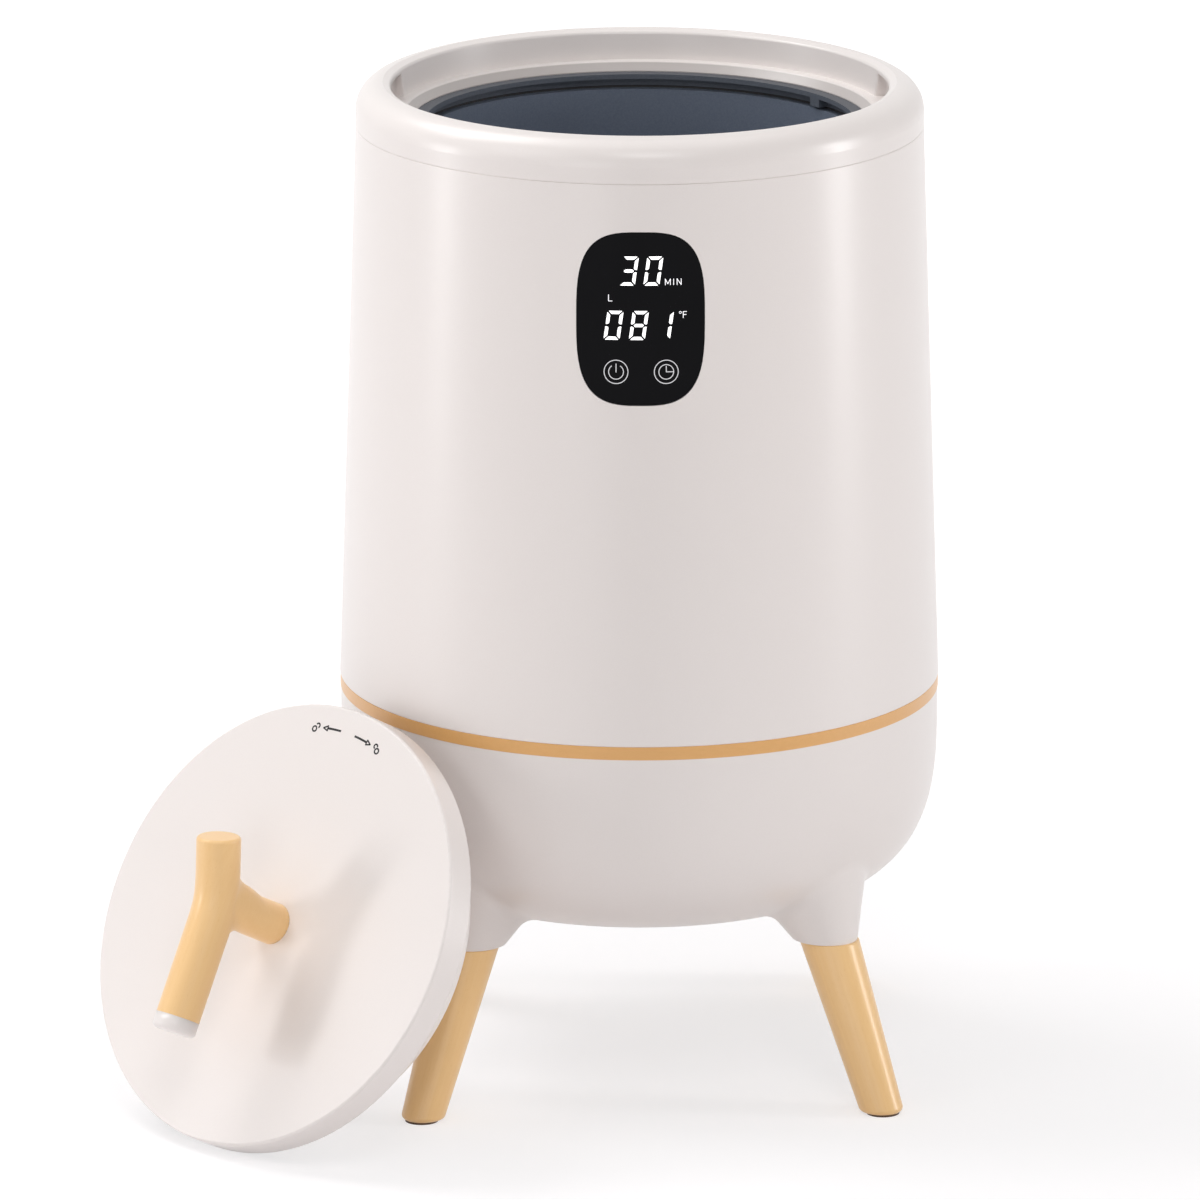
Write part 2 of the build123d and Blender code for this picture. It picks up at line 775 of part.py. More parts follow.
with BuildPart() as thermal_cutout:
    pegs(sensor_well_radius / 2, 1, 0, cutout_radius, z_pot_under - probe_height, z_pot_under)
save(thermal_cutout.part, "thermal_cutout")

with BuildPart() as temperature_probe:
    pegs(sensor_well_radius / 2, 1, 180, probe_radius, z_pot_under - probe_height, z_pot_under)
save(temperature_probe.part, "temperature_probe")

with BuildPart() as thermal_fuse:
    with BuildSketch(Plane.XY.offset(z_pot_under - 2 * probe_radius)):
        with Locations((0, -sensor_well_radius / 2)):
            SlotOverall(4 * probe_radius, 2 * probe_radius)
    extrude(amount=2 * probe_radius)
save(thermal_fuse.part, "thermal_fuse")

# ------------------------------------------------------------------ trim band
# Wood-tone ring that lies round the bowl's spigot, between bowl and shell.
spigot_radius = shell_radius(z_shell) - shell_wall - slip
band_outer_radius = body_base_radius - panel_recess

with BuildPart() as trim_band:
    ring(spigot_radius + slip, band_outer_radius, z_band, z_shell)
    chamfer(
        trim_band.edges().filter_by(GeomType.CIRCLE).filter_by(
            lambda edge: edge.radius > spigot_radius + 1
        ),
        seam_chamfer / 2,
    )
save(trim_band.part, "trim_band")

# ------------------------------------------------------------------ base bowl
# Deep bowl with four leg sockets that flare out of its heel in one smooth form. It
# holds the columns for the body screws and the posts for the shield and the board.
bowl_radius = body_base_radius - seam_chamfer
z_spring = z_band - bowl_straight
socket_length = 42.0
mouth_margin = 12.0
socket_mouth_radius = leg_top_radius + socket_lip
flare_slope = tan(radians(socket_flare))
inlet_seat = bowl_radius - inlet_sink
inlet_length = inlet_boss_depth + inlet_nut_thickness + inlet_thread
board_hole_x = power_board_width / 2 - standoff_radius
board_hole_y = power_board_depth / 2 - standoff_radius
board_centre = (0, power_board_shift)


def bowl_section(inset, low, flat, neck, shoulder):
    """Half section of the bowl: underside, heel, shoulder and the neck above it."""
    width = bowl_radius - inset - flat
    heel = [
        (flat + x, z_spring - y)
        for x, y in quarter(width, z_spring - low, bowl_power)
    ]
    with BuildSketch(Plane.XZ) as section:
        with BuildLine():
            curve = Spline(*heel, tangents=[(0, -1), (-1, 0)])
            Polyline(
                curve @ 1,
                (0, low),
                (0, spigot_top),
                (neck, spigot_top),
                (neck, shoulder),
                (bowl_radius - inset, shoulder),
                curve @ 0,
            )
        make_face()
    return section.sketch


def inlet_plane(distance):
    """Upright plane square to the cord inlet, at a distance behind the axis."""
    return Plane(origin=(0, distance, inlet_height), x_dir=(-1, 0, 0), z_dir=(0, 1, 0))


def leg_plane(angle, lift):
    """Plane square to a leg, at a distance along its axis from the socket's mouth."""
    axis = Vector(0, 0, 1) * cos(radians(leg_splay)) - outward(angle) * sin(radians(leg_splay))
    mouth = outward(angle) * socket_circle + Vector(0, 0, socket_mouth_height)
    return Plane(origin=mouth + axis * lift, x_dir=outward(angle - 90), z_dir=axis)


with BuildPart() as bowl_hollow:
    revolve(
        bowl_section(
            bowl_wall, z_floor, bowl_flat_radius + floor_flat_margin,
            spigot_radius - spigot_wall, z_band - bowl_wall,
        ),
        axis=Axis.Z,
    )
    pegs(
        base_screw_circle, base_screw_count, base_screw_angle, base_column_radius,
        z_bowl, spigot_top, Mode.SUBTRACT,
    )
    pegs(
        shield_post_circle, leg_count, base_turn, shield_post_radius,
        z_bowl, z_shield_under, Mode.SUBTRACT,
    )
    with BuildSketch(Plane.XY.offset(z_bowl)):
        with Locations(board_centre):
            with GridLocations(2 * board_hole_x, 2 * board_hole_y, 2, 2):
                Circle(standoff_radius)
    extrude(amount=z_board - z_bowl, mode=Mode.SUBTRACT)
    # Thick boss behind the cord inlet.
    with BuildSketch(inlet_plane(inlet_seat)):
        Circle(inlet_flange_radius + inlet_boss_margin)
    extrude(amount=-inlet_boss_depth, mode=Mode.SUBTRACT)

with BuildPart() as base_bowl:
    revolve(bowl_section(0, z_bowl, bowl_flat_radius, spigot_radius, z_band), axis=Axis.Z)
    for angle in leg_angles:
        with Locations(leg_plane(angle, -mouth_margin).location):
            Cone(
                socket_mouth_radius - mouth_margin * flare_slope,
                socket_mouth_radius + socket_length * flare_slope,
                mouth_margin + socket_length,
                align=(Align.CENTER, Align.CENTER, Align.MIN),
            )
    split(bisect_by=Plane.XY.offset(socket_mouth_height), keep=Keep.TOP)
    fillet(
        base_bowl.edges().filter_by(GeomType.BSPLINE).filter_by(
            lambda edge: edge.center().Z < z_spring and edge.length < 2 * bowl_radius
            and abs(edge.center().Y) > 1
        ),
        socket_fillet,
    )
    add(bowl_hollow.part, mode=Mode.SUBTRACT)
    for angle in leg_angles:
        with BuildSketch(leg_plane(angle, -mouth_margin)):
            Circle(leg_bolt_radius + screw_slip)
        extrude(amount=mouth_margin + socket_length, mode=Mode.SUBTRACT)
        with BuildSketch(leg_plane(angle, leg_bolt_seat)):
            Circle(leg_bolt_head_radius + 1)
        extrude(amount=socket_length, mode=Mode.SUBTRACT)
    pegs(
        base_screw_circle, base_screw_count, base_screw_angle, screw_radius + screw_slip,
        spigot_top - screw_bite, spigot_top, Mode.SUBTRACT,
    )
    pegs(
        shield_post_circle, leg_count, base_turn, screw_radius + screw_slip,
        z_shield_under - screw_bite, z_shield_under, Mode.SUBTRACT,
    )
    with BuildSketch(Plane.XY.offset(z_board - screw_bite / 2)):
        with Locations(board_centre):
            with GridLocations(2 * board_hole_x, 2 * board_hole_y, 2, 2):
                Circle(screw_radius + screw_slip)
    extrude(amount=screw_bite / 2, mode=Mode.SUBTRACT)
    with BuildSketch(inlet_plane(inlet_seat)):
        Circle(inlet_flange_radius + slip)
    extrude(amount=bowl_radius, mode=Mode.SUBTRACT)
    with BuildSketch(inlet_plane(inlet_seat)):
        Circle(inlet_body_radius + slip)
    extrude(amount=-2 * inlet_boss_depth, mode=Mode.SUBTRACT)
save(base_bowl.part, "base_bowl")

# Screws that hold the shell to the bowl, driven from above before the pot goes in, and
# those that hold the shield to its posts.
with BuildPart() as base_screws:
    pegs(
        base_screw_circle, base_screw_count, base_screw_angle, screw_head_radius,
        base_boss_top, base_boss_top + screw_head_height,
    )
    pegs(
        base_screw_circle, base_screw_count, base_screw_angle, screw_radius,
        spigot_top - screw_bite + overlap, base_boss_top,
    )
save(base_screws.part, "base_screws")

with BuildPart() as shield_screws:
    pegs(
        shield_post_circle, leg_count, base_turn, screw_head_radius,
        z_shield_top, z_shield_top + screw_head_height,
    )
    pegs(
        shield_post_circle, leg_count, base_turn, screw_radius,
        z_shield_under - screw_bite + 1, z_shield_top,
    )
save(shield_screws.part, "shield_screws")

# ------------------------------------------------------------------ legs
# Four turned tapered legs, cut level at the socket and at the floor, each drawn up
# by a bolt from inside the bowl and shod with a thin rubber pad.
leg_length = socket_mouth_height / cos(radians(leg_splay))
leg_taper = (leg_top_radius - leg_foot_radius) / leg_length

for angle, name in zip(leg_angles, leg_names):
    with BuildPart() as leg:
        with Locations(leg_plane(angle, -leg_length - mouth_margin).location):
            Cone(
                leg_foot_radius - mouth_margin * leg_taper,
                leg_top_radius + mouth_margin * leg_taper,
                leg_length + 2 * mouth_margin,
                align=(Align.CENTER, Align.CENTER, Align.MIN),
            )
        split(bisect_by=Plane.XY.offset(socket_mouth_height), keep=Keep.BOTTOM)
        split(bisect_by=Plane.XY.offset(pad_thickness), keep=Keep.TOP)
        fillet(leg.edges().group_by(Axis.Z)[0], foot_round)
        chamfer(leg.edges().group_by(Axis.Z)[-1], seam_chamfer)
        with BuildSketch(leg_plane(angle, -leg_bolt_reach - 1)):
            Circle(leg_bolt_radius + screw_slip)
        extrude(amount=leg_bolt_reach + mouth_margin, mode=Mode.SUBTRACT)
    save(leg.part, name)

with BuildPart() as foot_pads:
    with BuildSketch():
        with PolarLocations(foot_circle, leg_count, start_angle=base_turn - 45):
            Circle(leg_foot_radius - pad_inset)
    extrude(amount=pad_thickness)
save(foot_pads.part, "foot_pads")

with BuildPart() as leg_bolts:
    for angle in leg_angles:
        with BuildSketch(leg_plane(angle, -leg_bolt_reach)):
            Circle(leg_bolt_radius)
        extrude(amount=leg_bolt_reach + leg_bolt_seat)
        with BuildSketch(leg_plane(angle, leg_bolt_seat)):
            RegularPolygon(leg_bolt_head_radius, 6)
        extrude(amount=leg_bolt_head_height)
save(leg_bolts.part, "leg_bolts")

# ------------------------------------------------------------------ cord inlet
# Flanged bush at the back of the base with its nut inside. The cord is not part of it.
with BuildPart() as cord_inlet:
    with BuildSketch(inlet_plane(inlet_seat)):
        Circle(inlet_flange_radius)
    extrude(amount=inlet_flange_thickness)
    fillet(cord_inlet.edges().group_by(Axis.Y)[-1], inlet_flange_thickness / 3)
    with BuildSketch(inlet_plane(inlet_seat)):
        Circle(inlet_body_radius)
    extrude(amount=-inlet_length)
    with BuildSketch(inlet_plane(inlet_seat + inlet_flange_thickness)):
        Circle(inlet_bore_radius)
    extrude(amount=-inlet_length - inlet_flange_thickness, mode=Mode.SUBTRACT)
save(cord_inlet.part, "cord_inlet")

with BuildPart() as inlet_nut:
    with BuildSketch(inlet_plane(inlet_seat - inlet_boss_depth)):
        RegularPolygon(inlet_flange_radius + 1, 6)
        Circle(inlet_body_radius + screw_slip, mode=Mode.SUBTRACT)
    extrude(amount=-inlet_nut_thickness)
save(inlet_nut.part, "inlet_nut")

# ------------------------------------------------------------------ power board
# Board on the bowl's standoffs with its relay, transformer, capacitor and terminals.
z_parts = z_board + board_thickness


def board_place(across, along):
    """Place on the power board, as shares of its width and depth from its centre."""
    return (across * power_board_width, power_board_shift + along * power_board_depth)


def block(place, width, depth, height):
    """Box that stands on the power board at a place."""
    with BuildSketch(Plane.XY.offset(z_parts)) as base:
        with Locations(place):
            RectangleRounded(width, depth, block_round)
    extrude(base.sketch, amount=height)


relay_place = board_place(0.28, 0.18)
transformer_place = board_place(0.04, 0.15)
capacitor_place = board_place(-0.24, 0.18)
terminal_place = board_place(0.22, -0.28)


with BuildPart() as power_board:
    with BuildSketch(Plane.XY.offset(z_board)):
        with Locations(board_centre):
            RectangleRounded(power_board_width, power_board_depth, 3)
            with GridLocations(2 * board_hole_x, 2 * board_hole_y, 2, 2):
                Circle(screw_radius + screw_slip, mode=Mode.SUBTRACT)
    extrude(amount=board_thickness)
save(power_board.part, "power_board")

with BuildPart() as board_screws:
    with BuildSketch(Plane.XY.offset(z_parts)):
        with Locations(board_centre):
            with GridLocations(2 * board_hole_x, 2 * board_hole_y, 2, 2):
                Circle(screw_head_radius)
    extrude(amount=screw_head_height)
    with BuildSketch(Plane.XY.offset(z_parts)):
        with Locations(board_centre):
            with GridLocations(2 * board_hole_x, 2 * board_hole_y, 2, 2):
                Circle(screw_radius)
    extrude(amount=-board_thickness - screw_bite / 2 + 1)
save(board_screws.part, "board_screws")

with BuildPart() as relay:
    block(relay_place, relay_width, relay_depth, relay_height)
save(relay.part, "relay")

with BuildPart() as transformer:
    block(transformer_place, core_width, core_depth, core_height)
    block(transformer_place, coil_width, coil_depth, coil_height)
save(transformer.part, "transformer")

with BuildPart() as capacitor:
    with BuildSketch(Plane.XY.offset(z_parts)):
        with Locations(capacitor_place):
            Circle(capacitor_radius)
    extrude(amount=capacitor_height)
    fillet(capacitor.edges().group_by(Axis.Z)[-1], capacitor_round)
save(capacitor.part, "capacitor")

with BuildPart() as terminal_block:
    block(terminal_place, terminal_width, terminal_depth, terminal_height)
save(terminal_block.part, "terminal_block")

# ------------------------------------------------------------------ display cable
# Flat cable down the front, between the insulation and the shell, with its two plugs.
# Local x of the cable's plane is the distance in front of the axis, local y the height.
cable_plane = Plane(origin=(-cable_side, 0, 0), x_dir=(0, -1, 0), z_dir=(-1, 0, 0))
plug_back = (sleeve_outer_radius + carrier_back) / 2 - cable_thickness
plug_foot = panel_centre_height + plug_drop - plug_height / 2
carrier_foot = panel_centre_height - panel_height / 2 - carrier_margin
cable_behind = plug_back + cable_thickness
cable_out = dish_radius + cable_bend - cable_thickness
cable_foot = z_parts + plug_height / 2
board_edge = power_board_depth / 2 - power_board_shift
cable_route = [
    (cable_behind, plug_foot),
    (cable_behind, carrier_foot - cable_bend),
    (cable_out, carrier_foot - 3 * cable_bend),
    (cable_out, z_shield_under - cable_bend),
    (2 * board_edge, cable_foot),
    (board_edge - plug_height, cable_foot),
]

with BuildPart() as display_cable:
    with BuildLine(cable_plane):
        cable_line = FilletPolyline(*cable_route, radius=cable_bend / 2)
    with BuildSketch(Plane(origin=cable_line @ 0, x_dir=(1, 0, 0), z_dir=cable_line % 0)):
        Rectangle(cable_width, cable_thickness)
    sweep()
save(display_cable.part, "display_cable")

with BuildPart() as cable_plugs:
    with BuildSketch(panel_plane(plug_back)):
        with Locations((-cable_side, plug_drop)):
            Rectangle(cable_width, plug_height)
    extrude(amount=board_back - plug_back)
    with BuildSketch(Plane.XY.offset(z_parts)):
        with Locations((-cable_side, 1.5 * plug_height - board_edge)):
            Rectangle(cable_width, plug_height)
    extrude(amount=plug_height)
save(cable_plugs.part, "cable_plugs")

# ------------------------------------------------------------------ where the lid leans
# The lid stands on the back edge of its rim and its plug rests on the base bowl. Its
# distance is found by drawing it in until the plug is one running gap away.
lid_out = Vector(-sin(radians(lean_facing)), -cos(radians(lean_facing)), 0)
lid_normal = lid_out * cos(radians(lean_tilt)) + Vector(0, 0, sin(radians(lean_tilt)))
lid_up = Vector(0, 0, cos(radians(lean_tilt))) - lid_out * sin(radians(lean_tilt))
lid_right = lid_up.cross(lid_normal)
lid_height = lid_radius * cos(radians(lean_tilt)) + lid_thickness * sin(radians(lean_tilt))
lid_under = lid_thickness + plug_depth
lid_stand = Vector(-sin(radians(lean_standing)), -cos(radians(lean_standing)), 0)
plug_corner = lid_thickness + plug_skirt
plug_outline = FilletPolyline(
    (plug_radius, -plug_corner),
    (plug_foot_radius, -lid_under),
    (0, -lid_under),
    radius=plug_round,
)


def body_radius(z):
    """Outside radius of the base bowl or the shell at a height."""
    drop = max((z_spring - z) / (z_spring - z_bowl), 0)
    reach = (1 - drop ** bowl_power) ** (1 / bowl_power)
    return bowl_flat_radius + (body_base_radius - bowl_flat_radius) * reach


def lid_spoke(degree):
    """Unit vector from the lid's axis to its rim, turned back from the upright line."""
    turn = radians(degree)
    return lid_up * cos(turn) - lid_right * sin(turn)


def lid_gap(distance):
    """Smallest level gap between the lid's back and the body, with the lid so far out."""
    middle = lid_stand * distance + Vector(0, 0, lid_height)
    rims = [Vector(lid_radius, -lid_thickness)]
    rims += [plug_outline @ (step / 100) for step in range(40)]
    gaps = []
    for rim in rims:
        for degree in range(0, 360, 2):
            point = middle + lid_spoke(degree) * rim.X + lid_normal * rim.Y
            if point.Z > z_bowl:
                gaps.append(hypot(point.X, point.Y) - body_radius(point.Z))
    return min(gaps)


lean_near = body_base_radius
lean_far = body_base_radius + 2 * lid_radius
while lean_far - lean_near > 0.01:
    lean_middle = (lean_near + lean_far) / 2
    if lid_gap(lean_middle) > run:
        lean_far = lean_middle
    else:
        lean_near = lean_middle

lid_centre = lid_stand * lean_far + Vector(0, 0, lid_height)
lid_axis = Axis(lid_centre, lid_normal)
lid_section = Plane(origin=lid_centre, x_dir=lid_right, z_dir=-lid_up)
handle_plane = Plane(origin=lid_centre, x_dir=lid_up, z_dir=lid_right)


def lid_plane(depth):
    """Plane inside the lid, parallel to its face: local x is right, local y up."""
    return Plane(origin=lid_centre - lid_normal * depth, x_dir=lid_right, z_dir=lid_normal)


def lid_disc(radius, near_face, far_face, mode=Mode.ADD):
    """Disc or hole on the lid's axis, between two depths below its face."""
    with BuildSketch(lid_plane(far_face)) as base:
        Circle(radius)
    extrude(base.sketch, amount=far_face - near_face, mode=mode)


def lid_pegs(radius, near_face, far_face, mode=Mode.ADD):
    """Round pegs or holes on the circle of the lid's screws."""
    with BuildSketch(lid_plane(far_face)) as base:
        with PolarLocations(lid_screw_circle, lid_screw_count, start_angle=45):
            Circle(radius)
    extrude(base.sketch, amount=far_face - near_face, mode=mode)


def lid_round(points, mode=Mode.ADD):
    """Form turned on the lid's axis from points of radius and depth."""
    with BuildSketch(lid_section) as section:
        Polygon(*[(radius, -depth) for radius, depth in points], align=None)
    revolve(section.sketch, axis=lid_axis, mode=mode)


# ------------------------------------------------------------------ lid
# Shallow moulded cap with a boss for the handle's screw and posts for the liner. The
# liner closes it and forms the bayonet plug; foam fills it and a seal lies under it.
screw_seat = lid_under - screw_head_height - lid_screw_sink
post_foot = screw_seat - lid_wall
cap_inner_radius = lid_radius - lid_wall
liner_radius = cap_inner_radius - slip
lug_top = lid_thickness + lid_seal_thickness + lip_thickness + run
foam_floor = post_foot - foam_gap

with BuildPart() as lid_shell:
    lid_disc(lid_radius, 0, lid_thickness)
    fillet(lid_shell.edges().sort_by(lid_axis)[-1], lid_edge_round)
    fillet(lid_shell.edges().sort_by(lid_axis)[0], seam_chamfer)
    lid_disc(cap_inner_radius, lid_wall, lid_thickness, Mode.SUBTRACT)
    lid_disc(lid_boss_radius, lid_wall, lid_thickness)
    lid_pegs(boss_radius, lid_wall, post_foot)
    lid_disc(handle_screw_radius + screw_slip, 0, lid_thickness, Mode.SUBTRACT)
    lid_pegs(screw_radius + screw_slip, post_foot - screw_bite, post_foot, Mode.SUBTRACT)
save(lid_shell.part, "lid_shell")

with BuildPart() as lid_liner:
    with BuildSketch(lid_section):
        with BuildLine():
            plug_side = FilletPolyline(
                (plug_radius, -plug_corner),
                (plug_foot_radius, -lid_under),
                (0, -lid_under),
                radius=plug_round,
            )
            plug_inside = FilletPolyline(
                (plug_radius - lid_wall, -plug_corner),
                (plug_foot_radius - lid_wall, lid_wall - lid_under),
                (0, lid_wall - lid_under),
                radius=plug_round - lid_wall,
            )
            Polyline(
                plug_side @ 0,
                (plug_radius, -lid_thickness),
                (liner_radius, -lid_thickness),
                (liner_radius, lid_wall - lid_thickness),
                (plug_radius - lid_wall, lid_wall - lid_thickness),
                plug_inside @ 0,
            )
            Line(plug_side @ 1, plug_inside @ 1)
        make_face()
    revolve(axis=lid_axis)
    # Two lugs that turn under the bayonet lip.
    for half_turn in (0, 180):
        start = lid_spoke(lug_turn - lug_angle / 2 + half_turn)
        with BuildSketch(Plane(lid_centre, x_dir=start, z_dir=start.cross(lid_normal))) as lug:
            Polygon(
                (plug_radius - overlap, -lug_top),
                (plug_radius + lug_reach, -lug_top),
                (plug_radius + lug_reach, -lug_top - lug_thickness),
                (plug_radius - overlap, -lug_top - lug_thickness),
                align=None,
            )
        revolve(lug.sketch, axis=lid_axis, revolution_arc=lug_angle)
    # Sunk seats for the screws.
    lid_pegs(screw_head_radius + run + lid_wall, post_foot, lid_under)
    lid_pegs(screw_head_radius + run, screw_seat, lid_under, Mode.SUBTRACT)
    lid_pegs(screw_radius + screw_slip, post_foot, screw_seat, Mode.SUBTRACT)
save(lid_liner.part, "lid_liner")

with BuildPart() as lid_seal:
    lid_disc(plug_radius + slip + lid_seal_width, lid_thickness, lid_thickness + lid_seal_thickness)
    lid_disc(
        plug_radius + slip, lid_thickness, lid_thickness + lid_seal_thickness, Mode.SUBTRACT,
    )
save(lid_seal.part, "lid_seal")

with BuildPart() as lid_insulation:
    lid_round([
        (lid_boss_radius + overlap, lid_wall),
        (plug_radius - lid_wall - slip, lid_wall),
        (plug_radius - lid_wall - slip, plug_corner),
        (plug_foot_radius + overlap, foam_floor),
        (lid_boss_radius + overlap, foam_floor),
    ])
    lid_pegs(boss_radius + slip, lid_wall, foam_floor, Mode.SUBTRACT)
save(lid_insulation.part, "lid_insulation")

with BuildPart() as lid_screws:
    lid_pegs(screw_head_radius, screw_seat, screw_seat + screw_head_height)
    lid_pegs(screw_radius, post_foot - screw_bite + overlap, screw_seat)
save(lid_screws.part, "lid_screws")

# ------------------------------------------------------------------ branch handle
# Forked handle like a cut branch: a stem that stands on the lid and a bent bar across
# its end, longer below than above. The lower end wears a pale cap with a spigot.
bar_top = (
    upper_arm * cos(radians(upper_arm_lean)),
    bar_height + upper_arm * sin(radians(upper_arm_lean)),
)
bar_end = -(lower_arm - tip_length)


def bar_plane(reach):
    """Plane square to the bar's lower arm, at a place along it from the stem."""
    foot = lid_centre + lid_normal * bar_height + lid_up * reach
    return Plane(origin=foot, x_dir=lid_right, z_dir=-lid_up)


with BuildPart() as handle:
    with BuildLine(handle_plane):
        bar_line = FilletPolyline(
            (bar_end, bar_height), (0, bar_height), bar_top, radius=bar_bend_radius,
        )
    with BuildSketch(bar_plane(bar_end)):
        Circle(bar_radius)
    sweep()
    fillet(handle.edges().sort_by(Axis(lid_centre, lid_up))[-1], handle_end_round)
    lid_disc(stem_radius, -bar_height, 0)
    crotch = [
        edge for edge in handle.edges()
        if edge.geom_type != GeomType.CIRCLE and edge.geom_type != GeomType.LINE
    ]
    fillet(crotch, crotch_fillet)
    lid_disc(handle_screw_radius + screw_slip, -handle_screw_reach - overlap, 0, Mode.SUBTRACT)
    with BuildSketch(bar_plane(bar_end)):
        Circle(tip_spigot_radius + slip)
    extrude(amount=-tip_spigot_length - overlap, mode=Mode.SUBTRACT)
save(handle.part, "handle")

with BuildPart() as handle_tip:
    with BuildSketch(bar_plane(bar_end)):
        Circle(bar_radius)
    extrude(amount=tip_length)
    fillet(handle_tip.edges().sort_by(Axis(lid_centre, lid_up))[0], tip_round)
    with BuildSketch(bar_plane(bar_end)):
        Circle(tip_spigot_radius)
    extrude(amount=-tip_spigot_length)
save(handle_tip.part, "handle_tip")

with BuildPart() as handle_screw:
    lid_disc(handle_screw_head_radius, lid_thickness, lid_thickness + screw_head_height)
    lid_disc(handle_screw_radius, -handle_screw_reach, lid_thickness)
save(handle_screw.part, "handle_screw")
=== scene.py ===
import math

import bmesh
import bpy
from mathutils import Matrix, Vector


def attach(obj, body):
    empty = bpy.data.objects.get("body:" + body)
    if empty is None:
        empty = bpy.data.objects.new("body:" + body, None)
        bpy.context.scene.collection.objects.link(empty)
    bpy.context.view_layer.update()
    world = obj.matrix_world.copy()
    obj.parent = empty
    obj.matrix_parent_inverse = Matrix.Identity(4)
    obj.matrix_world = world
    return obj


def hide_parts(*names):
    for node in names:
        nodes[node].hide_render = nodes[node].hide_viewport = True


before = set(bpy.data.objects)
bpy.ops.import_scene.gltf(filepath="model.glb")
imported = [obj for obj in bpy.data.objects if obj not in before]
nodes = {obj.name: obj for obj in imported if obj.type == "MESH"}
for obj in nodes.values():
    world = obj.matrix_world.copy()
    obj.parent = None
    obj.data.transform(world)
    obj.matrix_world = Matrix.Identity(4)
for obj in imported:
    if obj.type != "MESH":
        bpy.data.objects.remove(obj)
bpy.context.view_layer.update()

scene = bpy.context.scene

# ---------------------------------------------------------------- view
# A long lens in front of the bucket and above its rim, looking down by some 15 degrees.
view_drop = math.radians(14.72)
view = bpy.data.objects.new("view", bpy.data.cameras.new("view"))
view.data.lens = 351.6
view.data.sensor_width = 36
view.data.clip_end = 100
view.location = (-0.021, -6.057, 1.842)
view.rotation_euler = (math.pi / 2 - view_drop, 0, 0)
scene.collection.objects.link(view)
scene.camera = view
scene.view_settings.view_transform = "Standard"


# ---------------------------------------------------------------- shell, bowl, lid and cap
# Injection-moulded ABS in a warm off-white, in pieces that are screwed together. The mould
# is finely spark-eroded, so the skin is satin: highlights spread softly, edges stay crisp.
def linear(hex_code):
    """Linear colour, with alpha, from an sRGB hex value."""
    channels = [int(hex_code[i:i + 2], 16) / 255 for i in (1, 3, 5)]
    return [c / 12.92 if c < 0.04045 else ((c + 0.055) / 1.055) ** 2.4 for c in channels] + [1]


def add_node(owner, kind, settings=None, links=None):
    """Add a node to a material or world, set its inputs and properties, and link its inputs."""
    tree = owner.node_tree
    node = tree.nodes.new(kind)
    for key, value in (settings or {}).items():
        if isinstance(key, str) and hasattr(node, key):
            setattr(node, key, value)
        else:
            node.inputs[key].default_value = value
    for key, output in (links or {}).items():
        tree.links.new(output, node.inputs[key])
    return node


def surface_of(material):
    """Inputs of the node that gives a material its surface."""
    return material.node_tree.nodes["Principled BSDF"].inputs


def feed(material, socket, output):
    """Link an output to an input of a material's surface."""
    material.node_tree.links.new(output, surface_of(material)[socket])


def finish(name, hex_code, roughness, ior=1.5, metallic=0.0):
    """A new material, and the object's own coordinates for its patterns."""
    material = bpy.data.materials.new(name)
    material.use_nodes = True
    surface = surface_of(material)
    surface["Base Color"].default_value = linear(hex_code)
    surface["Roughness"].default_value = roughness
    surface["IOR"].default_value = ior
    surface["Metallic"].default_value = metallic
    return material, add_node(material, "ShaderNodeTexCoord").outputs["Object"]


def grained(
    name, tones, roughness, grain, spread=0.2, bump=0.0, polish=0.0, ior=1.5, metallic=0.0,
):
    """A finish with an even grain: its plain, low and high tone, and sizes in metres."""
    plain, low, high = tones
    material, place = finish(name, plain, roughness, ior, metallic)
    speck = add_node(
        material, "ShaderNodeTexNoise",
        {"Scale": 1 / grain, "Detail": 3, "Roughness": 0.6}, {"Vector": place},
    )
    tint = add_node(
        material, "ShaderNodeMapRange",
        {"From Min": 0.5 - spread, "From Max": 0.5 + spread, "To Min": 0, "To Max": 1},
        {"Value": speck.outputs["Fac"]},
    )
    mix = add_node(
        material, "ShaderNodeMix", {"data_type": "RGBA", 6: linear(low), 7: linear(high)},
        {0: tint.outputs["Result"]},
    )
    feed(material, "Base Color", mix.outputs[2])
    if bump:
        relief = add_node(
            material, "ShaderNodeBump", {"Strength": 1, "Distance": bump},
            {"Height": speck.outputs["Fac"]},
        )
        feed(material, "Normal", relief.outputs["Normal"])
    if polish:
        gloss = add_node(
            material, "ShaderNodeMapRange",
            {"To Min": roughness - polish, "To Max": roughness + polish},
            {"Value": speck.outputs["Fac"]},
        )
        feed(material, "Roughness", gloss.outputs["Result"])
    return material


def coat(material, *names):
    """Give CAD nodes a material."""
    for name in names:
        nodes[name].data.materials.clear()
        nodes[name].data.materials.append(material)


# Real spark grain is about 0.1 mm; it is drawn at 0.5 mm, the finest that shows.
spark_eroded = {
    "tones": ("#EDE6E3", "#ECE5E2", "#EEE8E5"), "roughness": 0.30, "grain": 0.0005,
    "bump": 0.000004, "polish": 0.03, "ior": 1.54,
}
cream_abs = grained("abs_moulded_satin", **spark_eroded)
coat(cream_abs, "outer_shell", "base_bowl", "lid_shell", "handle_tip", "lid_liner")


# ---------------------------------------------------------------- rim collar
# One moulding of the same ABS, screwed to the shell. The cone under its ledge is painted a
# tone darker than the wall above it: painted shade for the recess, where little light reaches.
def shade(material, hex_code, share):
    """Blend a material's colour towards another, by an output from 0 to 1."""
    under = surface_of(material)["Base Color"].links[0].from_socket
    tone = add_node(
        material, "ShaderNodeMix", {"data_type": "RGBA", 7: linear(hex_code)},
        {0: share, 6: under},
    )
    feed(material, "Base Color", tone.outputs[2])


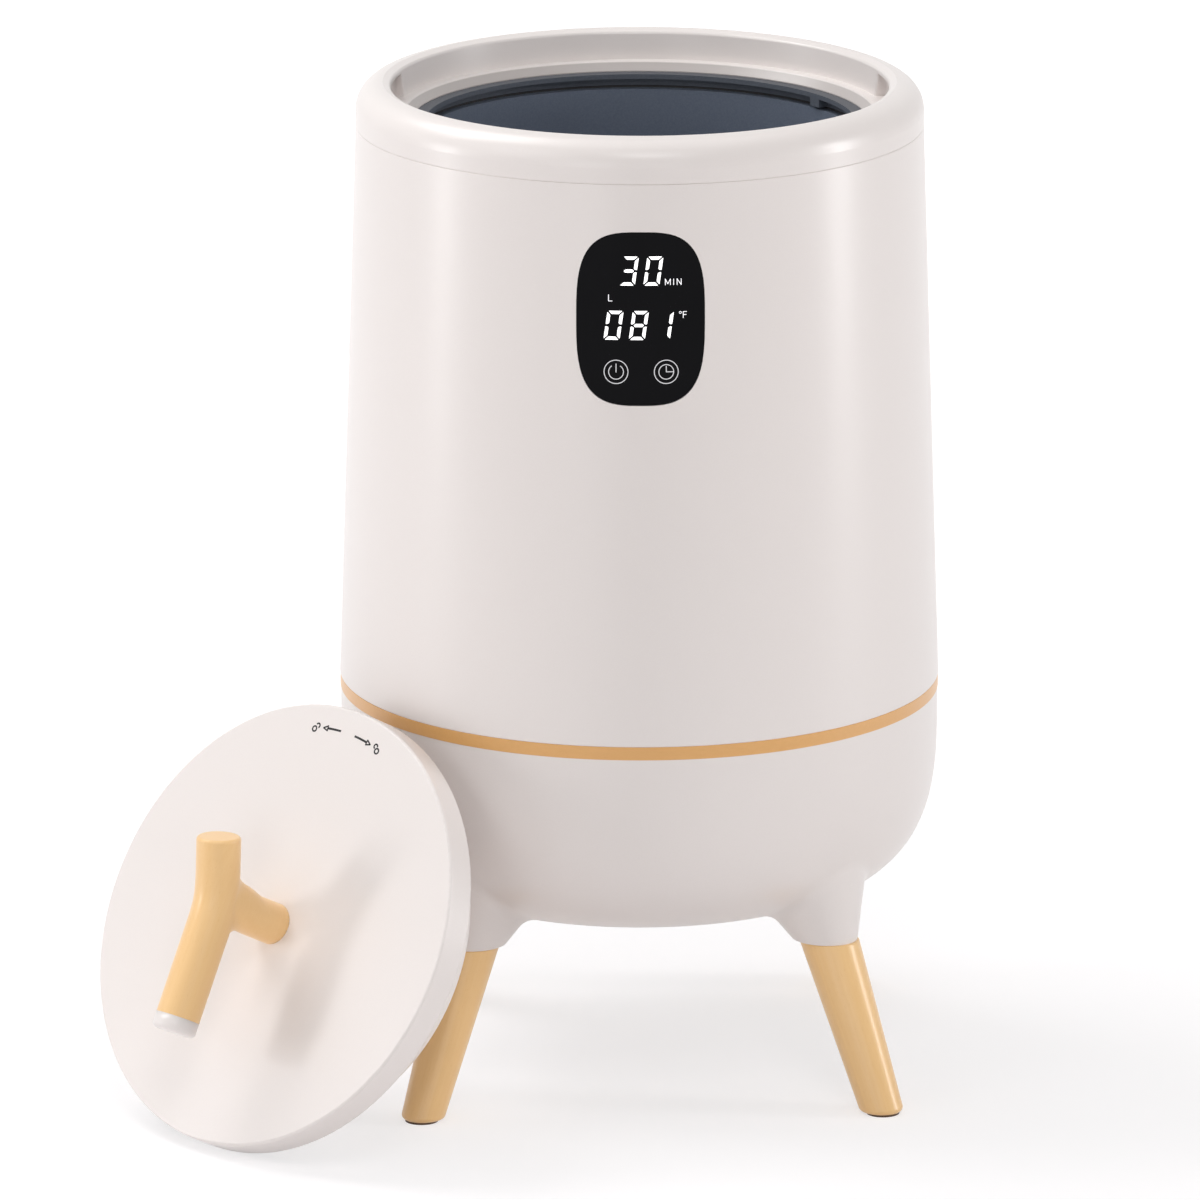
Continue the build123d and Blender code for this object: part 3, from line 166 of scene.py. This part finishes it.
cone_edge = 0.1235
cone_edge_blur = 0.0005
cone_top = 0.5177
cone_top_blur = 0.0006
cone_painted_shade = 0.62
collar_abs = grained("abs_moulded_satin_collar_painted_shade", **spark_eroded)
place = add_node(collar_abs, "ShaderNodeTexCoord").outputs["Object"]
level_place = add_node(
    collar_abs, "ShaderNodeVectorMath", {"operation": "MULTIPLY", 1: (1, 1, 0)}, {0: place},
)
radius = add_node(
    collar_abs, "ShaderNodeVectorMath", {"operation": "LENGTH"},
    {0: level_place.outputs["Vector"]},
)
height = add_node(collar_abs, "ShaderNodeSeparateXYZ", {}, {"Vector": place})
inside = add_node(
    collar_abs, "ShaderNodeMapRange",
    {"From Min": cone_edge, "From Max": cone_edge + cone_edge_blur, "To Min": 1, "To Max": 0},
    {"Value": radius.outputs["Value"]},
)
below = add_node(
    collar_abs, "ShaderNodeMapRange",
    {
        "From Min": cone_top, "From Max": cone_top + cone_top_blur,
        "To Min": cone_painted_shade, "To Max": 0,
    },
    {"Value": height.outputs["Z"]},
)
# Painted shade: inside the cone's edge and below its top, the colour is blended towards a darker
# tone.
cone = add_node(
    collar_abs, "ShaderNodeMath", {"operation": "MULTIPLY"},
    {0: inside.outputs["Result"], 1: below.outputs["Result"]},
)
shade(collar_abs, "#A39B97", cone.outputs["Value"])
coat(collar_abs, "rim_collar")

# ---------------------------------------------------------------- bayonet ring and support
# Slate glass-filled nylon, moulded and screwed up into the collar, with a dull and slightly
# fibrous skin. Its faces that look up are painted darker: painted shade over the light they
# catch.
nylon = grained(
    "nylon_glass_filled_painted_shade", ("#5E646E", "#5A6069", "#626873"), 0.5,
    grain=0.0012, bump=0.00001, polish=0.05, ior=1.53,
)
# Painted shade: the more a face looks up, the more its colour is blended towards a dark slate.
skin = add_node(nylon, "ShaderNodeNewGeometry")
facing = add_node(nylon, "ShaderNodeSeparateXYZ", {}, {"Vector": skin.outputs["Normal"]})
upward_painted_shade = add_node(
    nylon, "ShaderNodeMapRange",
    {"From Min": 0.4, "From Max": 0.9, "To Min": 0, "To Max": 0.9},
    {"Value": facing.outputs["Z"]},
)
shade(nylon, "#363A42", upward_painted_shade.outputs["Result"])
coat(nylon, "lock_ring", "support_ring")

# ---------------------------------------------------------------- pot and seals
# Deep-drawn aluminium with a sprayed slate non-stick coat, smooth with a fine orange peel,
# hung by its flange. The seals of pot and lid are moulded silicone, dark grey and dull.
slate_coat = grained(
    "non_stick_sprayed_slate", ("#768090", "#727B8C", "#7A8494"), 0.42,
    grain=0.0010, spread=0.15, bump=0.00002, polish=0.05, ior=1.45,
)
coat(slate_coat, "inner_pot")
silicone = grained(
    "silicone_moulded", ("#3B3B3D", "#383839", "#3F3F41"), 0.6,
    grain=0.002, bump=0.00001, ior=1.42,
)
coat(silicone, "pot_seal", "lid_seal")

# ---------------------------------------------------------------- panel
# Curved window of hardened glass, printed black behind and bonded in the shell. Its face is
# smooth and has a thin anti-glare coat, so it mirrors little and the lit signs stay clear.
black_glass = grained(
    "glass_back_printed_black", ("#0B0B0E", "#0A0A0D", "#0D0D10"), 0.06,
    grain=0.05, polish=0.01,
)
surface_of(black_glass)["Specular IOR Level"].default_value = 0.06
coat(black_glass, "panel_glass")


# ---------------------------------------------------------------- legs and band
# Four turned tapered legs of beech and the wood-tone ring between bowl and shell, under a
# thin honey-coloured satin lacquer. The grain is close and even, and only a faint streak
# and fleck show through.
def lacquered_beech(name, along, low="#F3C687", high="#F8CF94", fleck_tone="#E5B26F"):
    """Beech with its grain along a direction of the frame, its two tones and its flecks."""
    # Streaks are about 1.5 mm wide and 60 mm long; flecks are 0.5 mm by 3 mm.
    streaks_per_metre = 650
    streak_squeeze = 0.025
    flecks_per_metre = 2000
    fleck_squeeze = 0.16
    material, place = finish(name, low, 0.34, ior=1.48)
    surface_of(material)["Coat Weight"].default_value = 0.3
    surface_of(material)["Coat Roughness"].default_value = 0.28
    turn = Vector(along).to_track_quat("Z", "Y").to_euler()
    upright = add_node(
        material, "ShaderNodeMapping", {"vector_type": "TEXTURE", "Rotation": turn},
        {"Vector": place},
    )
    stretch = add_node(
        material, "ShaderNodeMapping", {"Scale": (1, 1, streak_squeeze)},
        {"Vector": upright.outputs["Vector"]},
    )
    streak = add_node(
        material, "ShaderNodeTexNoise",
        {"Scale": streaks_per_metre, "Detail": 4, "Roughness": 0.55},
        {"Vector": stretch.outputs["Vector"]},
    )
    tone = add_node(
        material, "ShaderNodeMix",
        {"data_type": "RGBA", 6: linear(low), 7: linear(high)},
        {0: streak.outputs["Fac"]},
    )
    feed(material, "Base Color", tone.outputs[2])
    pores = add_node(
        material, "ShaderNodeMapping", {"Scale": (1, 1, fleck_squeeze)},
        {"Vector": upright.outputs["Vector"]},
    )
    fleck = add_node(
        material, "ShaderNodeTexNoise", {"Scale": flecks_per_metre, "Detail": 2},
        {"Vector": pores.outputs["Vector"]},
    )
    sparse = add_node(
        material, "ShaderNodeMapRange",
        {"From Min": 0.6, "From Max": 0.75, "To Min": 0, "To Max": 0.25},
        {"Value": fleck.outputs["Fac"]},
    )
    shade(material, fleck_tone, sparse.outputs["Result"])
    relief = add_node(
        material, "ShaderNodeBump", {"Strength": 1, "Distance": 0.00001},
        {"Height": streak.outputs["Fac"]},
    )
    feed(material, "Normal", relief.outputs["Normal"])
    return material


first_leg_angle = -41.8
leg_top_out = 0.135
leg_foot_out = 0.173
leg_rise = 0.089
leg_splay = math.atan2(leg_foot_out - leg_top_out, leg_rise)
for number, name in enumerate(["front_right", "rear_right", "rear_left", "front_left"]):
    around = math.radians(first_leg_angle + 90 * number)
    lean = (-math.sin(leg_splay) * math.cos(around), -math.sin(leg_splay) * math.sin(around))
    beech = lacquered_beech("beech_lacquered_" + name, (*lean, math.cos(leg_splay)))
    coat(beech, "leg_" + name)
coat(
    lacquered_beech("beech_lacquered_band", (1, 0, 0), "#E0A964", "#E6B170", "#D0954F"),
    "trim_band",
)

# ---------------------------------------------------------------- handle
# Forked like a cut branch, of beech lacquered as the legs are, with a pale moulded end cap.
# The real bar bends more at its fork and its lower arm is longer than the solid's, so
# merged copies of both are bent and drawn out here, square to the face of the leaning lid.
lean_tilt = math.radians(27)
lean_facing = math.radians(44)
lid_centre = Vector((-0.192512, -0.150407, 0.114525))
lid_out = Vector((-math.sin(lean_facing), -math.cos(lean_facing), 0))
lid_normal = lid_out * math.cos(lean_tilt) + Vector((0, 0, math.sin(lean_tilt)))
lid_up = Vector((0, 0, math.cos(lean_tilt))) - lid_out * math.sin(lean_tilt)
lid_right = lid_up.cross(lid_normal)
coat(lacquered_beech("beech_lacquered_handle", lid_up), "handle")

bar_height = 0.046
fork_bend = math.radians(16)
fork_start = -0.014
fork_length = 0.030
stem_free = 0.016
stem_bent = 0.036
arm_start = -0.022
arm_end = -0.0546
arm_extra = 0.0094
crease = math.radians(40)
# Slices 2 mm apart, given in millimetres from the lid's centre, let the solid's facets bend.
cuts = [(lid_up, step) for step in range(-16, 18, 2)]
cuts += [(lid_normal, step) for step in range(2, 37, 2)]


def bent(along, out):
    """Place of a point of the bar, from its place up the lid and out of its face."""
    if along < arm_start:
        share = min((arm_start - along) / (arm_start - arm_end), 1)
        return along - arm_extra * share, out
    # The stem stays straight near the lid, and takes the whole bend where it meets the bar.
    free = min(max((out - stem_free) / (stem_bent - stem_free), 0), 1)
    bend = fork_bend * free * free * (3 - 2 * free)
    reach = along - fork_start
    if bend == 0 or reach <= 0:
        return along, out
    # The bar follows an arc over the fork and goes on straight at the arc's end.
    turned = min(reach, fork_length)
    radius = fork_length / bend
    turn = turned / radius
    centre_along = fork_start + radius * math.sin(turn) + (reach - turned) * math.cos(turn)
    centre_out = radius * (1 - math.cos(turn)) + (reach - turned) * math.sin(turn)
    aside = out - bar_height
    return (
        centre_along - aside * math.sin(turn),
        bar_height + centre_out + aside * math.cos(turn),
    )


for name, slot in (("handle", "honey_wood"), ("handle_tip", "cream_plastic")):
    bm = bmesh.new()
    bm.from_mesh(nodes[name].data)
    bmesh.ops.remove_doubles(bm, verts=bm.verts[:], dist=1e-6)
    for across, step in cuts:
        bmesh.ops.bisect_plane(
            bm, geom=bm.verts[:] + bm.edges[:] + bm.faces[:], dist=1e-7,
            plane_co=lid_centre + across * (step / 1000), plane_no=across,
        )
    for vert in bm.verts:
        offset = vert.co - lid_centre
        along, out = bent(offset.dot(lid_up), offset.dot(lid_normal))
        vert.co = (
            lid_centre + lid_right * offset.dot(lid_right) + lid_up * along + lid_normal * out
        )
    mesh = bpy.data.meshes.new(name + "_bent")
    bm.to_mesh(mesh)
    bm.free()
    mesh.shade_smooth()
    mesh.set_sharp_from_angle(angle=crease)
    mesh.materials.append(nodes[name].data.materials[0])
    piece = bpy.data.objects.new(name + "_bent", mesh)
    scene.collection.objects.link(piece)
    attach(piece, "lid")
    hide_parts(name)

# ---------------------------------------------------------------- feet and fixings
# Pads die-cut from brown rubber, dull with a fine nap, glued under the legs. The screws and
# bolts are zinc-plated steel, bright with the faint clouds that plating leaves.
rubber = grained(
    "rubber_die_cut_brown", ("#5A4638", "#554235", "#604B3C"), 0.75,
    grain=0.001, bump=0.00002,
)
coat(rubber, "foot_pads")
zinc = grained(
    "steel_zinc_plated", ("#C4C6C9", "#BDBFC4", "#CBCCCC"), 0.35,
    grain=0.003, polish=0.06, metallic=1,
)
coat(
    zinc, "lock_ring_screws", "collar_screws", "panel_screws", "base_screws", "shield_screws",
    "board_screws", "leg_bolts", "lid_screws", "handle_screw",
)

# ---------------------------------------------------------------- heating
# A brick-red silicone mat heats the pot, strapped on with pressed steel, which also shields
# the base and cases the cut-out, probe and fuse. Its zinc shows as broad soft spangles.
heater = grained(
    "silicone_heater_mat", ("#A04028", "#97391F", "#A9472F"), 0.65,
    grain=0.002, bump=0.00004, ior=1.42,
)
coat(heater, "heating_mat")
sheet_steel = grained(
    "steel_galvanised_sheet", ("#B9BCBE", "#AEB1B4", "#C4C7C8"), 0.4,
    grain=0.012, spread=0.15, polish=0.08, metallic=1,
)
coat(
    sheet_steel, "heat_shield", "mat_straps", "thermal_cutout", "temperature_probe",
    "thermal_fuse",
)

# ---------------------------------------------------------------- insulation
# Needled white felt, cut as a sleeve and a pad, with a soft nap that takes no shine. The
# filling of the lid is as pale and as dull.
felt = grained(
    "felt_needled_white", ("#E3E0DA", "#D3CFC6", "#ECE9E4"), 0.95,
    grain=0.003, bump=0.0003,
)
coat(felt, "insulation_sleeve", "bottom_pad", "lid_insulation")

# ---------------------------------------------------------------- boards and their parts
# Glass-fibre boards under a green solder mask, through which the weave shows faintly. The
# parts on them keep the plastics that such parts have, moulded, with an even satin skin.
board = grained(
    "fibreglass_green_mask", ("#14532C", "#104724", "#196036"), 0.35,
    grain=0.004, spread=0.1, bump=0.00001, polish=0.05,
)
coat(board, "display_board", "power_board")
black_abs = grained(
    "abs_moulded_black", ("#1A1A1B", "#171718", "#1E1E20"), 0.5,
    grain=0.0008, bump=0.00001, polish=0.04, ior=1.54,
)
coat(
    black_abs, "panel_carrier", "digit_blocks", "key_pads", "buzzer", "cord_inlet",
    "inlet_nut", "capacitor",
)
for name, tones, roughness, grain, coated in (
    ("pbt_relay_blue", ("#1F4C8C", "#1C4782", "#225296"), 0.35, 0.001, ["relay"]),
    ("polyester_tape_yellow", ("#D9B52A", "#D0AC22", "#E2BE35"), 0.35, 0.002, ["transformer"]),
    ("nylon_terminal_green", ("#2E7040", "#296739", "#337A47"), 0.45, 0.001, ["terminal_block"]),
    ("nylon_natural", ("#E9E6DC", "#E5E2D7", "#EDEAE1"), 0.45, 0.001,
     ["cable_plugs", "display_cable"]),
):
    plastic = grained(name, tones, roughness, grain, bump=0.00001)
    coat(plastic, *coated)

# ---------------------------------------------------------------- panel's digits and keys
# Lit segments, unit legends and key rings that show through the black glass. They are
# thin films on its face, laid on the shell's taper. Sizes are in millimetres.
panel_height = 441.0
shell_top = 512.0
shell_top_radius = 150.3
shell_length = 299
shell_flare = 9.7
glass_inset = 0.2
film_gap = 0.03
film = 0.04
unevenness = 0.1


def lit(name, hex_code, strength):
    """Film that glows, with slightly uneven light like a real segment."""
    material, place = finish(name, hex_code, 0.4)
    glow = add_node(
        material, "ShaderNodeTexNoise", {"Scale": 300, "Detail": 1}, {"Vector": place},
    )
    even = add_node(
        material, "ShaderNodeMapRange",
        {"To Min": strength * (1 - unevenness), "To Max": strength * (1 + unevenness)},
        {"Value": glow.outputs["Fac"]},
    )
    surface_of(material)["Emission Color"].default_value = linear(hex_code)
    feed(material, "Emission Strength", even.outputs["Result"])
    return material


def on_panel(x, y, proud):
    """Point just over the glass, from millimetres right of and above its centre."""
    height = panel_height + y
    shell_radius = shell_top_radius + (shell_top - height) * shell_flare / shell_length
    radius = shell_radius - glass_inset + film_gap + proud
    return Vector((x, -math.sqrt(radius ** 2 - x ** 2), height)) / 1000


def film_piece(name, bm, material, lay, body):
    """Finish a flat drawing in millimetres as a thin film, laid on a surface."""
    faces = bmesh.ops.extrude_face_region(bm, geom=bm.faces[:])
    top = [v for v in faces["geom"] if isinstance(v, bmesh.types.BMVert)]
    bmesh.ops.translate(bm, vec=(0, 0, film), verts=top)
    for vert in bm.verts:
        vert.co = lay(*vert.co)
    bmesh.ops.recalc_face_normals(bm, faces=bm.faces[:])
    mesh = bpy.data.meshes.new(name)
    bm.to_mesh(mesh)
    bm.free()
    mesh.materials.append(material)
    piece = bpy.data.objects.new(name, mesh)
    scene.collection.objects.link(piece)
    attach(piece, body)


# Each kind of bar is drawn once, at the top, in the middle or at the upper right of the
# digit, and mirrored to make the others. A digit leans to the right.
segment_white = lit("led_segment_white", "#FFFFFF", 1.0)
digit_height = 15.3
digit_width = 8.3
digit_lean = math.tan(math.radians(8))
bar = 1.7
mitre = 0.6
corner = 0.35
half_x = digit_width / 2
half_y = digit_height / 2
inner_x = half_x - bar
inner_y = half_y - bar
level_bar = [
    (mitre - half_x, half_y), (half_x - mitre, half_y),
    (inner_x - mitre, inner_y), (mitre - inner_x, inner_y),
]
middle_bar = [
    (mitre - half_x + bar / 2, 0), (mitre - inner_x, bar / 2), (inner_x - mitre, bar / 2),
    (half_x - bar / 2 - mitre, 0), (inner_x - mitre, -bar / 2), (mitre - inner_x, -bar / 2),
]
side_bar = [
    (half_x, half_y - mitre), (half_x, bar / 3), (half_x - bar / 2, mitre),
    (inner_x, bar / 2 + mitre / 2), (inner_x, inner_y - mitre),
]
bars = {
    "a": (level_bar, 1, 1), "b": (side_bar, 1, 1), "c": (side_bar, 1, -1),
    "d": (level_bar, 1, -1), "e": (side_bar, -1, -1), "f": (side_bar, -1, 1),
    "g": (middle_bar, 1, 1),
}
bars_of = {"0": "abcdef", "1": "bc", "3": "abcdg", "8": "abcdefg"}
timer_level = 25.4
timer_places = (-6.1, 6.6)
heat_level = -3.3
heat_places = (-14.0, -0.9, 12.1)
for name, text, places, level in (
    ("timer_digits", "30", timer_places, timer_level),
    ("heat_digits", "081", heat_places, heat_level),
):
    bm = bmesh.new()
    for digit, x in zip(text, places):
        for outline, across, along in (bars[letter] for letter in bars_of[digit]):
            corners = [bm.verts.new((x + px * across, py * along, 0)) for px, py in outline]
            bm.faces.new(corners)
    bmesh.ops.bevel(
        bm, geom=bm.verts[:], offset=corner, affect="VERTICES", segments=3, profile=0.5,
        material=-1,
    )
    bmesh.ops.recalc_face_normals(bm, faces=bm.faces[:])
    shear = Matrix(((1, digit_lean, 0, 0), (0, 1, 0, level), (0, 0, 1, 0), (0, 0, 0, 1)))
    bmesh.ops.transform(bm, matrix=shear, verts=bm.verts[:])
    film_piece(name, bm, segment_white, on_panel, "bucket")


def stroke(bm, start, end, width):
    """Straight line of a width, from one point to another and a little past both."""
    overrun = 0.3
    run = Vector(end) - Vector(start)
    middle = (Vector(start) + Vector(end)) / 2
    turn = Matrix.Rotation(run.angle_signed(Vector((1, 0))), 3, "Z")
    made = bmesh.ops.create_grid(bm, x_segments=1, y_segments=1, size=0.5)["verts"]
    bmesh.ops.scale(bm, vec=(run.length + 2 * overrun * width, width, 1), verts=made)
    bmesh.ops.rotate(bm, matrix=turn, verts=made)
    bmesh.ops.translate(bm, vec=(*middle, 0), verts=made)


def arc_band(bm, centre, radius, width, first, last, steps):
    """Thin flat ring or arc, drawn from one angle to another."""
    before = set(bm.verts)
    inner = bm.verts.new((radius - width / 2, 0, 0))
    outer = bm.verts.new((radius + width / 2, 0, 0))
    edge = bm.edges.new((inner, outer))
    start = Matrix.Rotation(math.radians(first), 3, "Z")
    bmesh.ops.rotate(bm, matrix=start, verts=[inner, outer])
    bmesh.ops.spin(
        bm, geom=[inner, outer, edge], axis=(0, 0, 1), angle=math.radians(last - first),
        steps=steps, use_merge=last - first >= 360,
    )
    bmesh.ops.translate(bm, vec=(*centre, 0), verts=[v for v in bm.verts if v not in before])


# Unit legends in plain strokes, each letter drawn in a box one unit high.
letters = {
    "M": [
        ((0, 0), (0, 1)), ((0, 1), (0.42, 0.2)), ((0.42, 0.2), (0.84, 1)),
        ((0.84, 1), (0.84, 0)),
    ],
    "I": [((0, 0), (0, 1))],
    "N": [((0, 0), (0, 1)), ((0, 1), (0.68, 0)), ((0.68, 0), (0.68, 1))],
    "L": [((0, 1), (0, 0)), ((0, 0), (0.55, 0))],
    "F": [((0, 0), (0, 1)), ((0, 1), (0.55, 1)), ((0, 0.52), (0.48, 0.52))],
}
legend_white = lit("led_legend_white", "#F0F0F3", 0.7)
legend_line = 0.36
minutes_level = 18.0
minutes_height = 3.1
degree_ring = (20.6, 3.3)
degree_ring_radius = 0.55
degree_ring_line = 0.28
for name, placed in (
    ("minutes_legend", [
        ("M", 12.8, minutes_level, minutes_height), ("I", 17.1, minutes_level, minutes_height),
        ("N", 18.9, minutes_level, minutes_height),
    ]),
    ("level_legend", [("L", -16.6, 9.5, 3.3)]),
    ("degrees_legend", [("F", 22.1, 0.5, 3.2)]),
):
    bm = bmesh.new()
    if name == "degrees_legend":
        arc_band(bm, degree_ring, degree_ring_radius, degree_ring_line, 0, 360, steps=24)
    for letter, x, y, height in placed:
        lower_left = Vector((x, y))
        for start, end in letters[letter]:
            stroke(
                bm, lower_left + Vector(start) * height, lower_left + Vector(end) * height,
                legend_line,
            )
    film_piece(name, bm, legend_white, on_panel, "bucket")

# Two ringed touch keys: a power sign, whose inner ring is open above, and a clock face.
key_grey = lit("led_key_legend_grey", "#C9C9CC", 0.45)
key_line = 0.42
key_radius = 6.2
sign_radius = 3.85
for name, centre, gap, lines in (
    ("power_key_rings", (-12.7, -27.9), 34, [((0, -0.2), (0, 4.2))]),
    ("timer_key_rings", (13.35, -27.9), 0, [((0, 0), (0, 3.0)), ((0, 0), (3.7, 0))]),
):
    bm = bmesh.new()
    arc_band(bm, centre, key_radius, key_line, 0, 360, steps=48)
    arc_band(bm, centre, sign_radius, key_line, 90 + gap, 450 - gap, steps=48)
    for start, end in lines:
        stroke(bm, Vector(centre) + Vector(start), Vector(centre) + Vector(end), key_line)
    film_piece(name, bm, key_grey, on_panel, "bucket")

# ---------------------------------------------------------------- lid's twist marks
# Two small arrows with an open and a closed padlock near the lid's upper edge, pad-printed
# in black ink, dull and slightly uneven as a thin print is. Sizes are in millimetres, and
# places along the marks' circle in degrees from the middle of the two.
ink = grained(
    "ink_pad_printed_black", ("#151113", "#120E10", "#191517"), 0.6, grain=0.0006, ior=1.45,
)
mark_radius = 107.3
mark_middle = 4.0
mark_line = 1.15
stem_near = 2.8
head_base = 8.0
head_tip = 9.6
head_half_width = 1.3
head_line = 0.8
lock_at = 12.4
lock_lean = 50
lock_line = 0.9
lock_body = 1.4
lock_body_drop = 1.35
shackle = 1.2
shackle_rise = 1.4
shackle_overlap = 40


def on_lid(x, y, proud):
    """Point just over the lid's face, from millimetres right of and above its centre."""
    offset = lid_right * x + lid_up * y + lid_normal * (film_gap + proud)
    return lid_centre + offset / 1000


def on_circle(degree, outward=0.0):
    """Point on the circle of the marks, at an angle to the right of their middle."""
    turn = math.radians(mark_middle + degree)
    return Vector((math.sin(turn), math.cos(turn))) * (mark_radius + outward)


for name, side, shackle_gap in (("twist_mark_open", -1, 40), ("twist_mark_closed", 1, 0)):
    bm = bmesh.new()
    upright = 90 - mark_middle
    stem = sorted((upright - stem_near * side, upright - head_base * side))
    arc_band(bm, (0, 0), mark_radius, mark_line, *stem, steps=12)
    head = [
        on_circle(head_base * side, head_half_width), on_circle(head_tip * side),
        on_circle(head_base * side, -head_half_width),
    ]
    for start, end in zip(head, head[1:] + head[:1]):
        stroke(bm, start, end, head_line)
    # The padlock leans towards its arrow. It is a hollow round body with a round shackle,
    # whose ends stop further from the body where the lock is open.
    middle = on_circle(lock_at * side)
    turn = math.radians((lock_lean - lock_at) * side - mark_middle)
    up = Matrix.Rotation(turn, 2) @ Vector((0, 1))
    first = math.degrees(math.atan2(up.y, up.x)) - 90 + shackle_gap / 2 - shackle_overlap
    last = first + 180 + 2 * shackle_overlap - shackle_gap
    arc_band(bm, middle - up * lock_body_drop, lock_body, lock_line, 0, 360, steps=24)
    arc_band(bm, middle + up * shackle_rise, shackle, lock_line, first, last, steps=16)
    film_piece(name, bm, ink, on_lid, "lid")

# ---------------------------------------------------------------- floor
# Seamless pale paper, matt, that runs out of sight behind the bucket. It shows near white
# and keeps the bucket's shadow, and the light it throws back is that of plain paper. Its glow is
# weakest at the bucket and full 2.2 m out: a painted shade round the bucket, over the shadow
# that the lamps cast.
floor_radius = 9
glow_reach = 2.2
glow_near = 0.60
glow_far = 1.0
floor = bpy.data.objects.new("floor", bpy.data.meshes.new("floor"))
bm = bmesh.new()
bmesh.ops.create_circle(bm, cap_ends=True, segments=96, radius=floor_radius)
bm.to_mesh(floor.data)
bm.free()
scene.collection.objects.link(floor)


def seen(owner):
    """Output that is 1 where the eye, a mirror or glass looks, and 0 for plain light."""
    path = add_node(owner, "ShaderNodeLightPath")
    either = path.outputs["Is Camera Ray"]
    for ray in ("Is Glossy Ray", "Is Transmission Ray"):
        either = add_node(
            owner, "ShaderNodeMath", {"operation": "MAXIMUM"}, {0: either, 1: path.outputs[ray]},
        ).outputs["Value"]
    return either


paper = bpy.data.materials.new("studio_paper")
paper.use_nodes = True
paper.node_tree.nodes.clear()
bounce = add_node(paper, "ShaderNodeBsdfDiffuse", {"Color": linear("#F4F2F3")})
dim = add_node(paper, "ShaderNodeBsdfDiffuse", {"Color": linear("#B0AEB0")})
spot = add_node(paper, "ShaderNodeTexCoord").outputs["Object"]
away = add_node(paper, "ShaderNodeVectorMath", {"operation": "LENGTH"}, {0: spot})
# Painted shade: the paper's glow is dimmest at the bucket and brightens outwards.
painted_shade_fade = add_node(
    paper, "ShaderNodeMapRange",
    {"From Min": 0, "From Max": glow_reach, "To Min": glow_near, "To Max": glow_far},
    {"Value": away.outputs["Value"]},
)
glow = add_node(
    paper, "ShaderNodeEmission", {"Color": linear("#FFFFFF")},
    {"Strength": painted_shade_fade.outputs["Result"]},
)
pale = add_node(
    paper, "ShaderNodeAddShader", {}, {0: dim.outputs["BSDF"], 1: glow.outputs["Emission"]},
)
mix = add_node(
    paper, "ShaderNodeMixShader", {},
    {0: seen(paper), 1: bounce.outputs["BSDF"], 2: pale.outputs["Shader"]},
)
add_node(paper, "ShaderNodeOutputMaterial", {}, {"Surface": mix.outputs["Shader"]})
floor.data.materials.append(paper)

# ---------------------------------------------------------------- light
# A white background that lights the object only dimly and a little warmly, and large soft
# lamps: over and behind it for its shape, strips at both sides, and weak fills in front.
dim_level = 0.20
world = bpy.data.worlds.new("studio")
scene.world = world
world.use_nodes = True
world.node_tree.nodes.clear()
direct = seen(world)
strength = add_node(
    world, "ShaderNodeMapRange", {"To Min": dim_level, "To Max": 1.0}, {"Value": direct},
)
tint = add_node(
    world, "ShaderNodeMix",
    {"data_type": "RGBA", 6: linear("#FFFBFA"), 7: linear("#FFFFFF")}, {0: direct},
)
sky = add_node(
    world, "ShaderNodeBackground", {},
    {"Color": tint.outputs[2], "Strength": strength.outputs["Result"]},
)
add_node(world, "ShaderNodeOutputWorld", {}, {"Surface": sky.outputs["Background"]})


def softbox(name, width, height, place, aim, power):
    """Large soft lamp, aimed at a point and itself out of the camera's sight."""
    lamp = bpy.data.lights.new(name, "AREA")
    lamp.shape = "RECTANGLE"
    lamp.size = width
    lamp.size_y = height
    lamp.energy = power
    box = bpy.data.objects.new(name, lamp)
    box.location = place
    box.rotation_euler = (Vector(aim) - Vector(place)).to_track_quat("-Z", "Y").to_euler()
    box.visible_camera = False
    scene.collection.objects.link(box)


softbox("key_light", 1.4, 1.8, (-2.4, -2.0, 1.9), (0, 0, 0.3), 8)
softbox("front_light", 1.2, 1.2, (0.2, -2.6, 2.9), (0, 0, 0.5), 20)
softbox("top_light", 2.4, 2.4, (0, 0.2, 3.2), (0, 0, 0), 17)
softbox("side_light", 1.6, 1.6, (-1.6, 0.6, 2.8), (0, 0, 0.3), 41)
softbox("left_strip", 0.3, 0.9, (-2.6, -0.36, 0.47), (0, 0, 0.47), 10.7)
softbox("right_strip", 0.4, 1.4, (2.8, -0.25, 0.72), (0, 0, 0.72), 27)
softbox("left_fill", 1.2, 1.2, (-1.2, -3.4, 0.7), (0, 0, 0.3), 11)
softbox("right_fill", 1.2, 1.2, (0.6, -3.5, 0.9), (0, 0, 0.3), 6)
